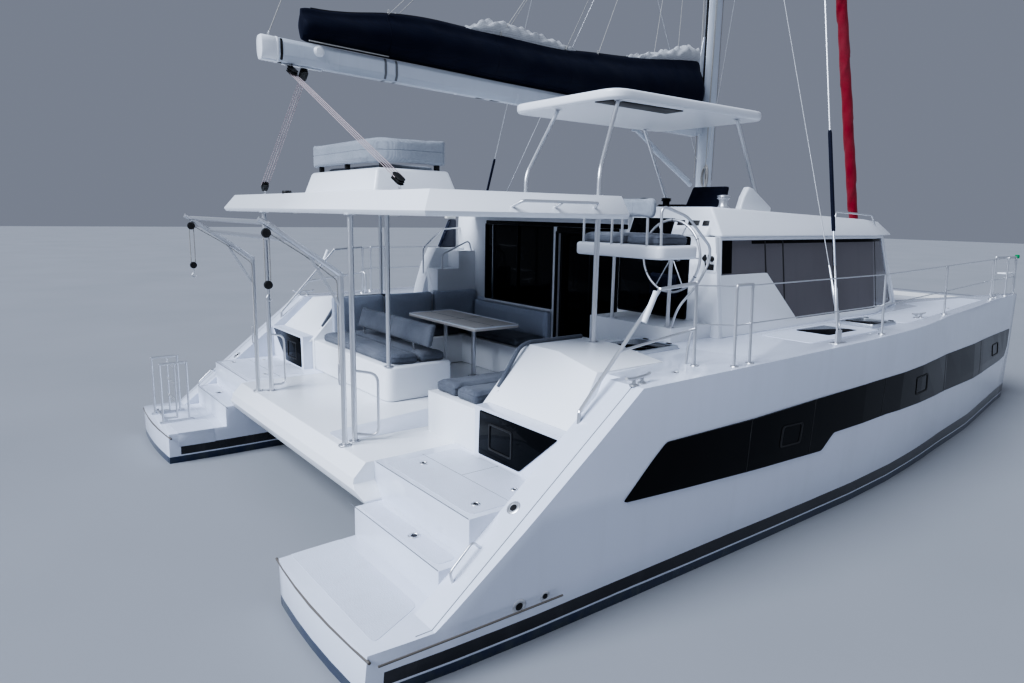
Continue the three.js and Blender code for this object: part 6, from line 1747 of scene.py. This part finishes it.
class CATAMARAN_OT_deck_gear(bpy.types.Operator):
    """Deck hatches, stanchion bases, bow gear, the cockpit table and small handrails"""
    bl_idname = "catamaran.deck_gear"
    bl_label = "Deck gear"

    def execute(self, context):
        for row in LIDS:
            self.hatch_lid(*row)
        pane = rounded(rectangle((-0.72, -3.12), (0.1, -2.72)), 0.05)
        twins(slab("deck_pane", "xy", pane, DECK_PANE_TOP_Z - 0.01, DECK_PANE_TOP_Z + 0.005, 0.002), "glass")
        bar = [(-2.87, -3.429, 2.44), (-2.87, -3.429, 2.47), (-2.64, -3.424, 2.47), (-2.64, -3.424, 2.44)]
        loop = [(-3.12, -3.225, 2.1), (-3.1, -3.17, 2.08), (-3.1, -3.14, 1.95), (-3.12, -3.14, 1.77)]
        twins(joined("rail_fittings", *rings([(place, UP) for place in STANCHION_FEET], 0.038, 0.014),
                     tubes("gate_bar", [bar], 0.0135, 0.04, sides=3),
                     tubes("gate_loop", [loop], 0.0125, 0.07, sides=3)), "steel")
        holder = [(0.017, 0), (0.024, 0), (0.024, 0.25), (0.027, 0.262), (0.022, 0.266), (0.018, 0.262),
                  (0.018, 0.02), (0, 0.02), (0, 0)]
        twins(turned("rod_holder", holder, (-3.78, -3.225, 2.2), (0.42, -0.05, 0.9), 20), "gelcoat")
        seat = rounded([(5.68, -2.51), (6.12, -2.585), (6.12, -2.64), (5.68, -2.68)], 0.02, 3)
        twins(slab("bow_seat", "xy", seat, 2.19, 2.212, 0.005), "gelcoat")
        self.table()
        self.bow_gear()
        return {"FINISHED"}

    def hatch_lid(self, name, node, low, high, foot, top):
        """One lid: its pane, its frame, and the grips and hinges."""
        body = f"{name}_body"
        inner = rectangle((low[0] + 0.035, low[1] + 0.035), (high[0] - 0.035, high[1] - 0.035))
        put(slab(f"{name}_pane", "xy", rounded(inner, 0.04), foot - 0.045, top - 0.006, 0.004), "glass", body, node)
        put(frame_ring(f"{name}_frame", "xy", rectangle(low, high), 0.038, foot - 0.045, top, 0.06, 0.006), "spar",
            body)
        middle = (low[1] + high[1]) / 2
        grips = [block(f"{name}_grip_{at}", (low[0] + 0.06, y - 0.04, top - 0.012),
                       (low[0] + 0.085, y + 0.04, top + 0.01), 0.005)
                 for at, y in enumerate((middle - 0.12, middle + 0.12))]
        hinges = [block(f"{name}_hinge_{at}", (high[0] - 0.03, y - 0.03, top - 0.01),
                        (high[0] - 0.001, y + 0.03, top + 0.008), 0.005)
                  for at, y in enumerate((middle - 0.15, middle + 0.15))]
        put(joined(f"{name}_fittings", *grips, *hinges), "rubber", body)

    def table(self):
        """The leaf with its rim and joints, on two legs."""
        low, high = (-3.2, 0.0), (-2.48, 1.64)
        leaf = slab("table_leaf", "xy", rounded(rectangle(low, high), 0.07, 5), 1.606, 1.642, 0.01, 3)
        put(leaf, "table", "boat", "cockpit_table")
        rim = frame_ring("table_rim", "xy", rectangle(low, high), 0.028, 1.632, 1.652, 0.07, 0.006)
        put(rim, "gelcoat", slot="table")
        joints = [[(-2.84, 0.02, 1.6423), (-2.84, 1.62, 1.6423)], [(-3.18, 0.82, 1.6423), (-2.5, 0.82, 1.6423)]]
        put(tubes("table_joints", joints, 0.0025, sides=1), "pad", slot="table")
        legs = [[(-2.86, y, 0.93), (-2.86, y, 1.61)] for y in (0.5, 1.18)]
        ends = [end for y in (0.5, 1.18) for end in (((-2.86, y, 0.93), UP), ((-2.86, y, 1.606), DOWN))]
        put(joined("table_legs", tubes("leg_tubes", legs, 0.031, sides=6), *rings(ends, 0.075, 0.014)), "steel")

    def bow_gear(self):
        """Windlass, anchor on its roller, lights and the lashing of the net."""
        drum = [(0, 0), (0.09, 0), (0.09, 0.015), (0.06, 0.03), (0.052, 0.07), (0.07, 0.09), (0.07, 0.1),
                (0.045, 0.115), (0, 0.118)]
        case = rounded(rectangle((3.98, 0.2), (4.2, 0.5)), 0.06)
        put(joined("windlass", turned("windlass_drum", drum, (4.09, 0.35, 1.82)),
                   slab("windlass_case", "xy", case, 1.815, 1.835, 0.006)), "steel")
        cheek = [(5.9, 1.6), (6.2, 1.56), (6.29, 1.63), (6.2, 1.7), (5.9, 1.7)]
        cheeks = [slab(f"roller_cheek_{side}", "xz", cheek, side * 0.064 - 0.003, side * 0.064 + 0.003, 0.001)
                  for side in (-1, 1)]
        wheel = [(0, -0.058), (0.045, -0.058), (0.03, -0.02), (0.03, 0.02), (0.045, 0.058), (0, 0.058)]
        put(joined("anchor_roller", *cheeks, turned("bow_roller", wheel, (6.22, 0, 1.625), (0, 1, 0))), "steel")
        shank = [(5.35, 1.5), (6.1, 1.575), (6.22, 1.545), (6.17, 1.5), (5.95, 1.44), (5.88, 1.3), (5.8, 1.3),
                 (5.86, 1.45), (5.36, 1.47)]
        fluke = [(6.0, 0.0), (5.75, 0.17), (5.45, 0.14), (5.52, 0.0), (5.45, -0.14), (5.75, -0.17)]
        put(joined("anchor", slab("anchor_shank", "xz", shank, -0.014, 0.014, 0.004),
                   slab("anchor_fluke", "xy", fluke, 1.29, 1.31, 0.004)), "spar", slot="steel")
        lamp = [(0, 0), (0.032, 0), (0.034, 0.012), (0.034, 0.05), (0.026, 0.06), (0, 0.062)]
        for look, name, y in (("red_lens", "port_light", 2.6), ("green_lens", "starboard_light", -2.6)):
            put(turned(f"{name}_case", lamp, (6.23, y, 2.44)), look, slot="dark_glass")
        lacing = []
        for at in range(22):
            y = -1.95 + at * 0.186
            fore = (4.3, y + 0.06, 1.7445)
            lacing += [[(4.252, y, 1.748), fore], [fore, (4.252, y + 0.12, 1.748)]]
        put(tubes("net_lacing", lacing, 0.003, sides=1), "rope")


STEPS = (
    CATAMARAN_OT_stage,
    CATAMARAN_OT_hulls,
    CATAMARAN_OT_hull_windows,
    CATAMARAN_OT_decks,
    CATAMARAN_OT_cabin,
    CATAMARAN_OT_roofs,
    CATAMARAN_OT_cushions,
    CATAMARAN_OT_helm,
    CATAMARAN_OT_cabin_fittings,
    CATAMARAN_OT_boom_gear,
    CATAMARAN_OT_sail_bag,
    CATAMARAN_OT_mast_gear,
    CATAMARAN_OT_stern_gear,
    CATAMARAN_OT_deck_gear,
    CATAMARAN_OT_plain_nodes,
)


class CATAMARAN_PT_panel(bpy.types.Panel):
    """Sizes, colours and the steps that build the boat"""
    bl_idname = "CATAMARAN_PT_panel"
    bl_label = "Catamaran"
    bl_space_type = "VIEW_3D"
    bl_region_type = "UI"
    bl_category = "Catamaran"

    def draw(self, context):
        for group in (context.scene.catamaran_sizes, context.scene.catamaran_colours):
            column = self.layout.column()
            for name in group.__annotations__:
                column.prop(group, name)
        for step in STEPS:
            self.layout.operator(step.bl_idname)


CLASSES = (CatamaranSizes, CatamaranColours, *STEPS, CATAMARAN_PT_panel)


def register():
    for kind in CLASSES:
        bpy.utils.register_class(kind)
    bpy.types.Scene.catamaran_sizes = bpy.props.PointerProperty(type=CatamaranSizes)
    bpy.types.Scene.catamaran_colours = bpy.props.PointerProperty(type=CatamaranColours)


def unregister():
    del bpy.types.Scene.catamaran_colours
    del bpy.types.Scene.catamaran_sizes
    for kind in reversed(CLASSES):
        bpy.utils.unregister_class(kind)


def main():
    """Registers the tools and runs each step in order."""
    register()
    for step in STEPS:
        group, name = step.bl_idname.split(".")
        getattr(getattr(bpy.ops, group), name)()


if __name__ == "__main__":
    main()
